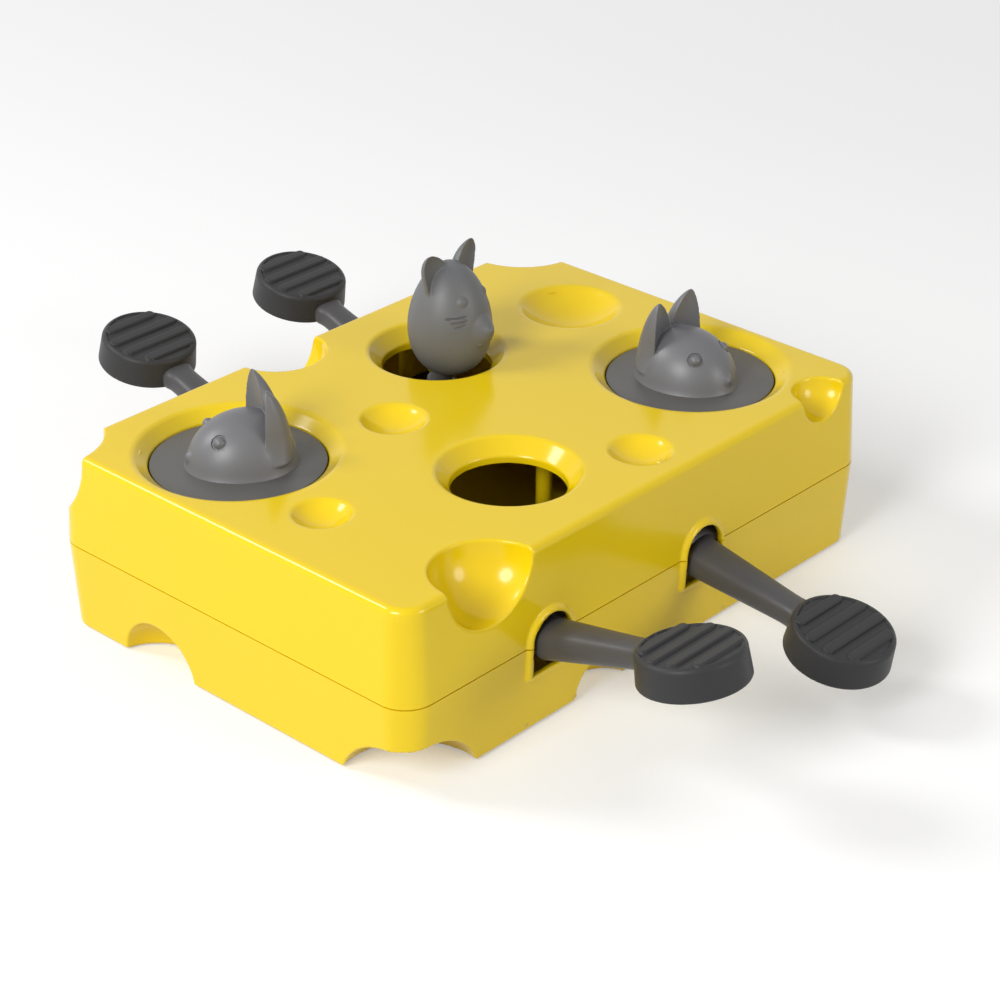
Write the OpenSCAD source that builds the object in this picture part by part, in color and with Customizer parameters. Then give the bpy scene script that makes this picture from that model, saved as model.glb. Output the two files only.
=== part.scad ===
// Interactive cat toy box: a two-part cheese-shaped case with four see-saw levers.
// Each lever has a ribbed foot pedal outside and lifts one toy mouse inside.
// Origin: centre of the case's flat underside. X runs along the long side, Z is up.

/* [Case] */
// Length of the case along X at the parting line
case_len = 300; // [280:1:340]
// Depth of the case along Y at the parting line
case_dep = 212; // [204:1:250]
// Height of the case from its underside to its top face
case_h = 85; // [82:1:95]
// Height of the parting line, where the two shells meet and the levers turn
part_z = 41; // [39:1:44]
// Wall thickness of both shells
wall = 2.6; // [1.8:0.1:3]
// Radius of the upright corners at the parting line
corner_r = 14; // [9:1:20]
// How far the top edge leans in from the parting line
top_draft = 2; // [0.5:0.1:4]
// How far the bottom edge leans in from the parting line
base_draft = 2.4; // [0.5:0.1:4]
// Rounding of the top edge
edge_r = 3; // [1:0.1:4]
// Height of the tongue that keys the upper shell on the lower one
lip_h = 2; // [1:0.1:3]
// Thickness of that tongue
lip_t = 1.2; // [0.8:0.1:1.6]

/* [Mouse holes] */
// Distance of a large hole from the middle, along X
big_x = 97.3; // [94:0.1:100]
// Distance of a large hole from the middle, along Y
big_y = 44.5; // [40:0.1:48]
// Outer radius of a large hole's bevel on the top face
big_rim_r = 45; // [43:0.5:47]
// Radius of a large hole at the foot of its bevel
big_hole_r = 38.5; // [36:0.5:40]
// Depth of the bevel of a large hole
big_bevel = 5; // [3:0.5:7]
// Distance of a small hole from the middle, along X
small_x = 32; // [30:0.5:34]
// Distance of a small hole from the middle, along Y
small_y = 51.5; // [49:0.5:54]
// Outer radius of a small hole's bevel on the top face
small_rim_r = 31.5; // [30:0.5:33]
// Radius of a small hole at the foot of its bevel
small_hole_r = 25; // [24:0.5:27]
// Depth of the bevel of a small hole
small_bevel = 7; // [4:0.5:8]

/* [Levers] */
// Place along X of the front left lever's axle, and of the rear right one turned about
outer_lever_x = 62.5; // [60:0.5:66]
// Place along X of the front right lever's axle, and of the rear left one turned about
inner_lever_x = 37; // [34:0.5:40]
// Distance of the axles behind the case's face
axle_inset = 8.5; // [8:0.1:10]
// Diameter of the axle pins
axle_d = 4; // [3:0.5:5]
// Radial running gap between an axle and a lever's hub
axle_fit = 0.06; // [0.03:0.01:0.1]
// Diameter of a lever's hub
hub_d = 13; // [11:0.5:14]
// Length of a lever's hub along its axle
hub_len = 23; // [20:0.5:23.5]
// Tilt of a released lever, with its pedal up
up_tilt = 11.3; // [9:0.1:12]
// Tilt of a pressed lever, with its pedal down
down_tilt = 12.4; // [9:0.1:13]
// Length from the axle to the pedal's centre
pedal_reach = 89; // [80:1:96]
// How far a pedal stands to the side of its axle
pedal_side = 8.4; // [6:0.2:12]
// Height of a pedal's centre over the lever's own line
pedal_rise = 7; // [3:0.5:9]
// Radius of a pedal
pedal_r = 23.4; // [20:0.2:25]
// Thickness of a pedal
pedal_h = 14.6; // [12:0.2:16]
// Rounding of a pedal's edges
pedal_edge = 3; // [1.5:0.5:5]
// Height of the tread ribs
rib_h = 1; // [0.5:0.1:1.5]
// Width of the tread ribs
rib_w = 4.2; // [3:0.1:6]
// Number of tread ribs on a pedal
rib_count = 4; // [2:1:5]
// Radius of an arm where it leaves the case
arm_root_r = 7.2; // [6.5:0.1:7.5]
// Width of an arm where it leaves the case
arm_root_w = 19; // [16:0.5:20]
// How far an arm leaves its hub under the axle's height
arm_drop = 2; // [0:0.5:3]
// Radius of an arm where it meets its pedal
arm_tip_r = 5.5; // [4.5:0.5:6]
// Width of the inner bar of a lever
bar_w = 14; // [10:0.5:16]

/* [Slots] */
// Width of the opening that a lever leaves the case through
slot_w = 25; // [24.5:0.5:27]
// Height of the slot's round top over the parting line
slot_top = 12; // [11.5:0.5:13]
// Depth of the slot's sill below the parting line
slot_sill = 14; // [12:0.5:15]
// Width of the raised collar round a slot
collar_w = 3; // [1.5:0.5:4]
// How far that collar stands out of the face
collar_proud = 1.8; // [0.6:0.1:2.5]

/* [Mice] */
// Radius of an egg mouse's body
egg_r = 19.5; // [17:0.5:20]
// Height of an egg mouse's body
egg_h = 55; // [50:1:57]
// Depth of a raised egg mouse's underside under the case's top face
egg_sink = 9.5; // [8:0.5:11]
// How far an egg mouse's body stands nearer its axle than the middle of its hole
egg_forward = 7; // [6:0.5:9]
// How far an egg mouse stands outside the middle of its hole, along X
egg_aside = 1.5; // [0:0.5:3]
// Turn of an egg mouse's face away from its axle
egg_turn = 8; // [0:1:15]
// How far its neck stands nearer the axle than the middle of the hole
neck_forward = 2; // [0:0.5:3]
// Radius of an egg mouse's neck
neck_r = 5; // [4:0.5:6]
// Radius of a head mouse's skull
skull_r = 21; // [18:0.5:22]
// Radius of a head mouse's nose
nose_r = 7; // [5:0.5:9]
// Length of a head mouse
head_len = 49.5; // [46:0.5:52]
// Height of a head mouse over its disc, without the ears
head_h = 21; // [18:0.5:24]
// Height of a head mouse's ears, from their feet inside the head
ear_h = 34; // [30:1:36]
// Width of a head mouse's ears
ear_w = 15; // [12:0.5:17]
// Thickness of the ears
ear_t = 4; // [2:0.1:5]
// Thickness of the disc under a head mouse
disc_t = 3; // [2:0.1:3.5]
// Gap round the disc
disc_gap = 0.6; // [0.4:0.1:1]
// Radius of the spigot that the disc turns on
spigot_r = 4; // [3:0.5:5]
// Radius of the post that carries the disc
post_r = 7; // [5:0.5:9]

/* [Fixings] */
// Radius of the bosses that the case screws hold
boss_r = 3.8; // [3.2:0.1:4.5]
// Radius of a case screw's shank
screw_r = 1.5; // [1:0.1:1.8]
// Radius of a case screw's head
screw_head_r = 2.8; // [2.4:0.1:3.2]
// Radius of a small screw's shank
pin_screw_r = 1.2; // [1:0.1:1.5]
// Radius of the anti-slip pads
pad_r = 9; // [6:0.5:9]
// Thickness of the anti-slip pads
pad_t = 2; // [1.5:0.1:2.4]
// How far the pads stand out of the underside
pad_proud = 1; // [0.6:0.1:1.4]

/* [Hidden] */
$fn = 48;

// Rounding of the hulls' own children
hull_fn = 32;
// Overrun of every cut past the face it opens
over = 1;
// Thickness of the thin plates that a hull is spanned over
skin = 0.02;
// Gap between parts that fit together by hand
fit_gap = 0.2;
// Gap round a fixed pin or screw
snug_gap = 0.02;
// Half sizes of the case, and the places of its upright corners' axes
half_len = case_len / 2;
half_dep = case_dep / 2;
corner_x = half_len - corner_r;
corner_y = half_dep - corner_r;
// Where the rounding of the top edge is spanned between its two ends
bend_share = 0.29;
// Straight lower part of a small hole
small_skirt = 3;
// How much a disc's edge leans in over its own thickness
disc_slope_share = 0.4;
// Axles, and the cheeks that hold their ends
axle_y = half_dep - axle_inset;
cheek_gap = 0.5;
cheek_t = 4.5;
cheek_d = 9;
axle_len = hub_len + 2 * cheek_gap + 2 * cheek_t;
// Rest tilts: only the front right lever stands pressed
rest_up = up_tilt;
rest_down = -down_tilt;
// Half the flat width between the two balls at each end of an arm
arm_root_half = arm_root_w / 2 - arm_root_r;
arm_tip_half = arm_tip_r / 5;
// Place of the arm's outer end, just inside the pedal's rim
arm_tip_y = pedal_reach - pedal_r + arm_tip_r / 2;
arm_tip_x = pedal_side * arm_tip_y / pedal_reach;
arm_tip_z = pedal_rise - pedal_h / 2 + arm_tip_r;
// Tongue of the arm in the pedal
tongue_r = 12;
tongue_t = 4;
// Height of the inner bar at the hub
bar_root_h = hub_d * 0.9;
// The lever's end plate, which an egg mouse is screwed on
plate_r = 6.5;
plate_t = 4;
// The foot plate of a disc's post, level when the lever is released
foot_r = 9;
foot_t = 5;
foot_z = 4;
post_z = foot_z + foot_t;
// Places of the mice beside their axles, and of the egg mice along their levers
egg_side = small_x + egg_aside - inner_lever_x;
disc_side = outer_lever_x - big_x;
egg_reach = axle_y + small_y - egg_forward;
neck_reach = (axle_y + small_y - neck_forward) / cos(down_tilt);
// Drop of the end plate under its lever's line, with a gap to the floor when released
plate_gap = 0.7;
plate_room = part_z - wall - plate_gap - (neck_reach + plate_r) * sin(up_tilt);
plate_drop = plate_room / cos(up_tilt) - plate_t / 2;
// Underside of a raised egg mouse over its axle, and length of its neck
egg_up_z = case_h - egg_sink - part_z;
plate_top = plate_t / 2 - plate_drop;
neck_sink_share = 0.12;
neck_h = egg_up_z / cos(down_tilt) - neck_reach * tan(down_tilt) - plate_top + egg_h * neck_sink_share;
// Outline of an egg
egg_steps = 16;
egg_lean_share = 0.16;
// Egg mouse: ears, snout and eyes as shares of the egg's radius or height
egg_ear_share = 0.36;
egg_ear_out_share = 0.5;
egg_ear_up_share = 0.98;
egg_snout_share = 0.36;
egg_eye_share = 0.1;
egg_eye_out_share = 0.44;
egg_eye_front_share = 0.6;
egg_eye_up_share = 0.78;
// Head mouse: brow, ears and eyes as shares of the skull's radius or the head's height
brow_share = 0.88;
brow_front_share = 0.45;
ear_back_share = 0.42;
ear_out_share = 0.64;
ear_foot_share = 0.1;
ear_lean = 4;
eye_front_share = 0.52;
eye_out_share = 0.5;
eye_up_share = 0.74;
eye_share = 0.12;
// Disc, its hub on the spigot, and the screw that keeps it there
disc_top = case_h - big_bevel;
disc_hub_t = 3;
swivel_gap = 0.3;
spigot_top = disc_top + swivel_gap;
keeper_r = spigot_r * 1.3;
keeper_h = 1.7;
keeper_room_r = spigot_r * 1.5;
head_screw_x = 14;
// Screws
screw_head_h = 2.2;
seat_z = 26;
screw_grip = 11;
small_head_r = 2.5;
small_head_h = 1.9;
small_grip = 6;
small_end_gap = 0.5;
boss_foot_r = 5.5;
// Bosses, each repeated half a turn round the middle: shares of the case's half sizes,
// then shares of a small hole's place
edge_boss_shares = [[-0.8, -0.585], [-0.853, 0.755]];
mid_boss_share = [0.44, -0.6];
boss_places = concat(
    [for (b = edge_boss_shares) [b[0] * half_len, b[1] * half_dep]],
    [[mid_boss_share[0] * small_x, mid_boss_share[1] * small_y]]);
// Pads, in the four quarters: shares of the case's half sizes
pad_share = [0.64, 0.72];
pad_x = pad_share[0] * half_len;
pad_y = pad_share[1] * half_dep;
// Balls that scoop the top edges: place as shares of the case's half sizes and height,
// and radius as a share of the height
top_scoop_shares = [
    [-0.663, -0.972, 1, 0.288],
    [0.787, -0.981, 1, 0.168],
    [-1, 1.127, 0.965, 0.379],
    [-0.12, 0.981, 1, 0.259],
    [1.007, 1.009, 1.153, 0.395]];
// Dents in the top face: place as shares of the half sizes, then radius and depth as
// shares of the height
dent_shares = [
    [-0.745, -0.201, 0.148, 0.071],
    [-0.208, 0.16, 0.172, 0.076],
    [0.133, -0.756, 0.162, 0.076],
    [0.73, 0.363, 0.279, 0.118]];
// Balls that notch the bottom edge, like the scoops
base_notch_shares = [
    [-1.013, 0.415, -0.02, 0.258],
    [1.013, -0.415, -0.02, 0.258],
    [-0.207, -1.009, 0, 0.188],
    [0.207, 1.009, 0, 0.188],
    [-0.92, -0.915, -0.141, 0.394]];
// Ways that the two head mice look, in degrees from the X axis
left_look = 152;
right_look = 270;
// Colours
yellow = [0.95, 0.80, 0.22];
dark_grey = [0.28, 0.28, 0.28];
mouse_grey = [0.45, 0.45, 0.45];
disc_grey = [0.36, 0.36, 0.36];
steel = [0.75, 0.76, 0.78];
rubber = [0.12, 0.12, 0.12];

// Repeats children half a turn round the middle
module both_turns() {
    for (a = [0, 180])
        rotate([0, 0, a])
            children();
}

// Four corner posts of radius r and height h, standing at height z
module corner_posts(z, r, h = skin) {
    for (sx = [-1, 1])
        for (sy = [-1, 1])
            translate([sx * corner_x, sy * corner_y, z])
                cylinder(h = h, r = r, $fn = hull_fn);
}

// The solid outer form of the upper shell, with its lean and its rounded top edge
module upper_block() {
    top_r = corner_r - top_draft;
    hull() {
        corner_posts(part_z, corner_r);
        corner_posts(case_h - edge_r, top_r);
        corner_posts(case_h - bend_share * edge_r, top_r - bend_share * edge_r);
        corner_posts(case_h - skin, top_r - edge_r);
    }
}

// The hollow of the upper shell
module upper_hollow() {
    hull() {
        corner_posts(part_z - over, corner_r - wall);
        corner_posts(case_h - wall - skin, corner_r - top_draft - wall);
    }
}

// The solid outer form of the lower shell
module lower_block() {
    hull() {
        corner_posts(0, corner_r - base_draft);
        corner_posts(part_z - skin, corner_r);
    }
}

// The hollow of the lower shell
module lower_hollow() {
    hull() {
        corner_posts(wall, corner_r - base_draft - wall);
        corner_posts(part_z + over, corner_r - wall);
    }
}

// Balls that scoop the edges: grow adds the wall for the inner blister
module edge_balls(shares, grow) {
    for (s = shares)
        translate([s[0] * half_len, s[1] * half_dep, s[2] * case_h])
            sphere(r = s[3] * case_h + grow);
}

// Balls that dent the top face
module dent_balls(grow) {
    for (s = dent_shares) {
        dent_r = s[2] * case_h;
        dent_deep = s[3] * case_h;
        ball_r = (dent_r * dent_r + dent_deep * dent_deep) / (2 * dent_deep);
        translate([s[0] * half_len, s[1] * half_dep, case_h + ball_r - dent_deep])
            sphere(r = ball_r + grow);
    }
}

// Bevelled collar of one round hole, hanging under the lid
module hole_collar(rim_r, hole_r, bevel, skirt) {
    translate([0, 0, case_h - bevel])
        cylinder(h = bevel, r1 = hole_r + wall, r2 = rim_r + wall);
    translate([0, 0, case_h - bevel - skirt])
        cylinder(h = skirt, r = hole_r + wall);
}

// The opening of a small hole
module small_opening() {
    translate([0, 0, case_h - small_bevel])
        cylinder(h = small_bevel, r1 = small_hole_r, r2 = small_rim_r);
    translate([0, 0, case_h - small_bevel - small_skirt - over])
        cylinder(h = small_skirt + 2 * over, r = small_hole_r);
    translate([0, 0, case_h - skin])
        cylinder(h = over, r = small_rim_r);
}

// The opening of a large hole, whose lower part narrows as the disc's edge does
module big_opening() {
    foot_open_r = big_hole_r - disc_slope_share * disc_t;
    translate([0, 0, case_h - big_bevel])
        cylinder(h = big_bevel, r1 = big_hole_r, r2 = big_rim_r);
    translate([0, 0, case_h - big_bevel - disc_t])
        cylinder(h = disc_t, r1 = foot_open_r, r2 = big_hole_r);
    translate([0, 0, case_h - big_bevel - disc_t - over])
        cylinder(h = 2 * over, r = foot_open_r);
    translate([0, 0, case_h - skin])
        cylinder(h = over, r = big_rim_r);
}

// Places children at the front and the rear lever of both kinds
module at_slots() {
    both_turns()
        for (x = [-outer_lever_x, inner_lever_x])
            translate([x, 0, 0])
                children();
}

// Arch-shaped prism along Y, grown by grow, from depth y0 to y1 at the front
module arch(y0, y1, grow) {
    arch_r = slot_w / 2;
    arch_z = part_z + slot_top - arch_r;
    translate([0, y1, arch_z])
        rotate([90, 0, 0])
            cylinder(h = y1 - y0, r = arch_r + grow);
    translate([-arch_r - grow, y0, part_z - slot_sill - grow])
        cube([slot_w + 2 * grow, y1 - y0, arch_z - part_z + slot_sill + grow]);
}

// Raised collar of one slot
module slot_collar() {
    arch(-half_dep - collar_proud, -half_dep + wall, collar_w);
}

// Cut of one slot through the wall
module slot_cut() {
    arch(-half_dep - collar_proud - over, -half_dep + wall + base_draft + over, 0);
}

// The two cheeks that hold one axle, from height z0 to z1
module axle_cheeks(z0, z1) {
    cheek_x = hub_len / 2 + cheek_gap;
    for (s = [0, 1])
        mirror([s, 0, 0])
            translate([cheek_x, -half_dep + wall - skin, z0])
                cube([cheek_t, axle_inset + cheek_d / 2 - wall, z1 - z0]);
}

// Bore for one axle through its cheeks
module axle_seat() {
    translate([0, -axle_y, part_z])
        rotate([0, 90, 0])
            cylinder(h = axle_len + 2 * snug_gap, d = axle_d + 2 * snug_gap, center = true);
}

// Upper shell, with scoops, dents, mouse holes and the upper halves of the cheeks
module upper_case() {
    color(yellow)
        difference() {
            union() {
                difference() {
                    upper_block();
                    difference() {
                        upper_hollow();
                        edge_balls(top_scoop_shares, wall);
                        dent_balls(wall);
                        both_turns()
                            translate([-small_x, -small_y, 0])
                                hole_collar(small_rim_r, small_hole_r, small_bevel, small_skirt);
                        both_turns()
                            translate([big_x, -big_y, 0])
                                hole_collar(big_rim_r, big_hole_r, big_bevel, disc_t);
                    }
                }
                intersection() {
                    at_slots()
                        slot_collar();
                    translate([-case_len, -case_len, part_z])
                        cube([2 * case_len, 2 * case_len, case_h - part_z]);
                }
                both_turns()
                    for (b = boss_places)
                        translate([b[0], b[1], part_z])
                            cylinder(h = case_h - part_z - wall + over / 2, r = boss_r);
                at_slots()
                    axle_cheeks(part_z, case_h - wall);
            }
            edge_balls(top_scoop_shares, 0);
            dent_balls(0);
            both_turns()
                translate([-small_x, -small_y, 0])
                    small_opening();
            both_turns()
                translate([big_x, -big_y, 0])
                    big_opening();
            at_slots()
                slot_cut();
            at_slots()
                axle_seat();
            both_turns()
                for (b = boss_places)
                    translate([b[0], b[1], part_z - over])
                        cylinder(h = screw_grip + 2 * over, r = screw_r + snug_gap);
        }
}

// Tongue ring of the lower shell, open at the slots
module lip_ring() {
    lip_r = corner_r - wall;
    difference() {
        union() {
            hull()
                corner_posts(part_z - lip_h, lip_r + wall / 2, lip_h);
            hull()
                corner_posts(part_z, lip_r - fit_gap, lip_h);
        }
        hull()
            corner_posts(part_z - lip_h - over, lip_r - fit_gap - lip_t, 2 * lip_h + 2 * over);
        lip_breaks();
    }
}

// Room for the levers' cheeks in the tongue
module lip_breaks() {
    break_w = axle_len + 2 * over;
    at_slots()
        translate([-break_w / 2, -half_dep, part_z - lip_h - over])
            cube([break_w, axle_inset + cheek_d, 2 * lip_h + 2 * over]);
}

// Lower shell, with notches, the keying tongue and the lower halves of the cheeks
module lower_case() {
    color(yellow)
        difference() {
            union() {
                difference() {
                    lower_block();
                    difference() {
                        lower_hollow();
                        edge_balls(base_notch_shares, wall);
                    }
                }
                lip_ring();
                intersection() {
                    at_slots()
                        slot_collar();
                    translate([-case_len, -case_len, 0])
                        cube([2 * case_len, 2 * case_len, part_z]);
                }
                both_turns()
                    for (b = boss_places)
                        translate([b[0], b[1], 0]) {
                            cylinder(h = seat_z + wall, r = boss_foot_r);
                            cylinder(h = part_z, r = boss_r);
                        }
                at_slots()
                    axle_cheeks(wall / 2, part_z);
            }
            edge_balls(base_notch_shares, 0);
            at_slots()
                slot_cut();
            at_slots()
                axle_seat();
            both_turns()
                for (b = boss_places)
                    translate([b[0], b[1], -over]) {
                        cylinder(h = part_z + 2 * over, r = screw_r + fit_gap);
                        cylinder(h = seat_z + over, r = screw_head_r + fit_gap);
                    }
            for (sx = [-1, 1])
                for (sy = [-1, 1])
                    translate([sx * pad_x, sy * pad_y, -over])
                        cylinder(h = pad_t - pad_proud + over, r = pad_r + snug_gap);
        }
}

// Places children in one lever's own frame: axle along X, pedal towards -Y
module lever_frame(x, tilt, turn) {
    rotate([0, 0, turn])
        translate([x, -axle_y, part_z])
            rotate([-tilt, 0, 0])
                children();
}

// Places children upright as they stand when their lever has the given tilt
module upright(tilt) {
    rotate([tilt, 0, 0])
        children();
}

// The arm from the hub to the pedal, with the tongue that the pedal sits on
module outer_arm() {
    hull() {
        for (s = [-1, 1])
            translate([s * arm_root_half, 0, -arm_drop])
                sphere(r = arm_root_r, $fn = hull_fn);
        for (s = [-1, 1])
            translate([s * arm_tip_half - arm_tip_x, -arm_tip_y, arm_tip_z])
                sphere(r = arm_tip_r, $fn = hull_fn);
    }
    translate([-pedal_side, -pedal_reach, pedal_rise - pedal_h / 2])
        cylinder(h = tongue_t, r = tongue_r);
    translate([-arm_tip_x - arm_tip_r, -pedal_reach, pedal_rise - pedal_h / 2])
        cube([2 * arm_tip_r, pedal_r, tongue_t]);
}

// Screw hole with a sunk head, cut upwards from height z
module sunk_hole(z, h) {
    translate([0, 0, z - over])
        cylinder(h = small_head_h + fit_gap / 2 + over, r = small_head_r + fit_gap / 2);
    translate([0, 0, z - over])
        cylinder(h = h + 2 * over, r = pin_screw_r + fit_gap / 2);
}

// Places children at the pedal's screw
module at_pedal_screw() {
    translate([-pedal_side, -pedal_reach, pedal_rise - pedal_h / 2])
        children();
}

// Places children at the egg mouse's screw, on the end plate's underside
module at_neck_screw() {
    translate([egg_side, neck_reach, -plate_drop - plate_t / 2])
        children();
}

// Places children upright over the foot plate, at the case's own heights
module over_foot() {
    upright(up_tilt)
        translate([disc_side, axle_y + big_y, -part_z])
            children();
}

// Places children at the post's screw, on the foot plate's underside
module at_post_screw() {
    over_foot()
        translate([0, 0, foot_z])
            children();
}

// Hub with the arm, shared by both kinds of lever
module lever_base() {
    rotate([0, 90, 0])
        cylinder(h = hub_len, d = hub_d, center = true);
    outer_arm();
}

// Root of the inner bar at the hub
module bar_root() {
    corner = bar_w / 4;
    for (s = [-1, 1])
        translate([s * (bar_w / 2 - corner), hub_d / 4, -bar_root_h / 2])
            cylinder(h = bar_root_h, r = corner, $fn = hull_fn);
}

// Lever that lifts an egg mouse
module egg_lever() {
    color(dark_grey)
        difference() {
            union() {
                lever_base();
                hull() {
                    bar_root();
                    at_neck_screw()
                        cylinder(h = plate_t, r = plate_r, $fn = hull_fn);
                }
            }
            rotate([0, 90, 0])
                cylinder(h = hub_len + 2 * over, d = axle_d + 2 * axle_fit, center = true);
            at_pedal_screw()
                sunk_hole(0, tongue_t);
            at_neck_screw()
                sunk_hole(0, plate_t);
            translate([egg_side, neck_reach, plate_top])
                cylinder(h = bar_root_h, r = neck_r + snug_gap);
        }
}

// Lever that lifts a disc with a head mouse
module disc_lever() {
    color(dark_grey)
        difference() {
            union() {
                lever_base();
                hull() {
                    bar_root();
                    at_post_screw()
                        cylinder(h = foot_t, r = foot_r, $fn = hull_fn);
                }
            }
            rotate([0, 90, 0])
                cylinder(h = hub_len + 2 * over, d = axle_d + 2 * axle_fit, center = true);
            at_pedal_screw()
                sunk_hole(0, tongue_t);
            at_post_screw()
                sunk_hole(0, foot_t);
            over_foot()
                translate([0, 0, post_z])
                    cylinder(h = bar_root_h, r = post_r + snug_gap);
        }
}

// Side view of half a pedal: a slab with rounded edges
module pedal_profile() {
    square([pedal_r - pedal_edge, pedal_h]);
    translate([0, pedal_edge])
        square([pedal_r, pedal_h - 2 * pedal_edge]);
    for (z = [pedal_edge, pedal_h - pedal_edge])
        translate([pedal_r - pedal_edge, z])
            circle(r = pedal_edge);
}

// Ribbed foot pedal with the notch that takes the arm
module pedal() {
    rib_pitch = 2 * pedal_r / (rib_count + 1);
    notch_w = 2 * (arm_tip_r + arm_tip_half + 3 * fit_gap);
    color(dark_grey)
        difference() {
            translate([-pedal_side, -pedal_reach, pedal_rise - pedal_h / 2]) {
                rotate_extrude()
                    pedal_profile();
                for (i = [0:rib_count - 1]) {
                    off = (i - (rib_count - 1) / 2) * rib_pitch;
                    half = sqrt(pedal_r * pedal_r - off * off) - pedal_edge;
                    translate([-half, off - rib_w / 2, pedal_h - skin])
                        cube([2 * half, rib_w, rib_h + skin]);
                    for (s = [-1, 1])
                        translate([s * half, off, pedal_h - rib_h])
                            cylinder(h = 2 * rib_h, d = rib_w);
                }
            }
            translate([-pedal_side, -pedal_reach, pedal_rise - pedal_h / 2 - over])
                cylinder(h = tongue_t + over, r = tongue_r + fit_gap);
            translate([-arm_tip_x - notch_w / 2, -pedal_reach, pedal_rise - pedal_h / 2 - over])
                cube([notch_w, pedal_r + over, 2 * arm_tip_r + fit_gap + over]);
            at_pedal_screw()
                cylinder(h = tongue_t + small_grip, r = pin_screw_r + snug_gap);
        }
}

// Half outline of an egg, from its foot to its tip
function egg_point(i) = let (t = 180 * i / egg_steps)
    [egg_r * sin(t) * (1 + egg_lean_share * cos(t)), egg_h / 2 * (1 - cos(t))];

// Egg mouse, standing on its neck as it does when raised
module egg_mouse() {
    color(mouse_grey)
        difference() {
            union() {
                upright(-down_tilt)
                    translate([egg_side, egg_reach, egg_up_z])
                        rotate([0, 0, -egg_turn]) {
                            rotate_extrude()
                                polygon([for (i = [0:egg_steps]) egg_point(i)]);
                            for (s = [-1, 1])
                                translate([s * egg_r * egg_ear_out_share, 0, egg_h * egg_ear_up_share])
                                    rotate([90, 0, 0])
                                        cylinder(h = ear_t, r = egg_r * egg_ear_share, center = true);
                            translate([0, -egg_r * (1 - egg_snout_share / 2), egg_h / 2])
                                sphere(r = egg_r * egg_snout_share);
                            for (s = [-1, 1])
                                translate([s * egg_r * egg_eye_out_share, -egg_r * egg_eye_front_share,
                                        egg_h * egg_eye_up_share])
                                    sphere(r = egg_r * egg_eye_share);
                        }
                translate([egg_side, neck_reach, plate_top])
                    cylinder(h = neck_h, r = neck_r);
            }
            translate([egg_side, neck_reach, plate_top - over])
                cylinder(h = small_grip + over, r = pin_screw_r + snug_gap);
        }
}

// Post on the foot plate, with the spigot that the disc turns on
module post() {
    color(dark_grey)
        over_foot()
            difference() {
                union() {
                    translate([0, 0, post_z])
                        cylinder(h = disc_top - disc_t - disc_hub_t - swivel_gap - post_z, r = post_r);
                    translate([0, 0, post_z])
                        cylinder(h = spigot_top - post_z, r = spigot_r);
                }
                translate([0, 0, post_z - over])
                    cylinder(h = small_grip + over, r = pin_screw_r + snug_gap);
                translate([0, 0, spigot_top - small_grip])
                    cylinder(h = small_grip + over, r = pin_screw_r + snug_gap);
            }
}

// Disc with the hub that turns on the spigot
module disc() {
    disc_r = big_hole_r - disc_gap;
    color(disc_grey)
        over_foot()
            difference() {
                union() {
                    translate([0, 0, disc_top - disc_t])
                        cylinder(h = disc_t, r1 = disc_r - disc_slope_share * disc_t, r2 = disc_r);
                    translate([0, 0, disc_top - disc_t - disc_hub_t])
                        cylinder(h = disc_hub_t + disc_t / 2, r = 2 * spigot_r);
                }
                translate([0, 0, disc_top - disc_t - disc_hub_t - over])
                    cylinder(h = disc_t + disc_hub_t + 2 * over, r = spigot_r + axle_fit);
                at_head_screws()
                    sunk_hole(disc_top - disc_t, disc_t);
            }
}

// Places children at the two screws that hold a head on its disc
module at_head_screws() {
    for (s = [-1, 1])
        translate([s * head_screw_x, 0, 0])
            children();
}

// Lens-shaped ear, standing on its lower point
module lens_ear(h, w) {
    side_r = (h * h + w * w) / (4 * w);
    translate([0, 0, h / 2])
        rotate([0, 90, 0])
            intersection() {
                translate([0, side_r - w / 2, 0])
                    cylinder(h = ear_t, r = side_r, center = true);
                translate([0, w / 2 - side_r, 0])
                    cylinder(h = ear_t, r = side_r, center = true);
            }
}

// Head of a mouse on its disc, looking along the angle look
module head_mouse(look) {
    back_x = skull_r - head_len / 2;
    nose_x = head_len / 2 - nose_r;
    ball_z = head_h - skull_r;
    color(mouse_grey)
        over_foot()
            translate([0, 0, disc_top])
                difference() {
                    rotate([0, 0, look])
                        difference() {
                            union() {
                                translate([back_x, 0, ball_z])
                                    sphere(r = skull_r);
                                translate([back_x + brow_front_share * (nose_x - back_x), 0, ball_z])
                                    sphere(r = brow_share * skull_r);
                                translate([nose_x, 0, ball_z])
                                    sphere(r = nose_r);
                                for (s = [-1, 1])
                                    translate([back_x - skull_r * ear_back_share, s * skull_r * ear_out_share,
                                            head_h * ear_foot_share])
                                        rotate([s * ear_lean, 0, 0])
                                            lens_ear(ear_h, ear_w);
                                for (s = [-1, 1])
                                    translate([skull_r * eye_front_share, s * skull_r * eye_out_share,
                                            ball_z + skull_r * eye_up_share])
                                        sphere(r = skull_r * eye_share);
                            }
                            translate([-case_len / 2, -case_len / 2, -case_len])
                                cube([case_len, case_len, case_len]);
                        }
                    at_head_screws()
                        translate([0, 0, -over])
                            cylinder(h = small_grip + over, r = pin_screw_r + snug_gap);
                    translate([0, 0, -over])
                        cylinder(h = over + 2 * swivel_gap + keeper_h, r = keeper_room_r);
                }
}

// Axle pin between the cheeks of one lever
module axle(x, turn) {
    color(steel)
        rotate([0, 0, turn])
            translate([x, -axle_y, part_z])
                rotate([0, 90, 0])
                    cylinder(h = axle_len, d = axle_d, center = true);
}

// Small sunk screw, head at the bottom
module small_screw(h) {
    cylinder(h = small_head_h, r = small_head_r);
    cylinder(h = h + small_grip - small_end_gap, r = pin_screw_r);
}

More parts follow.
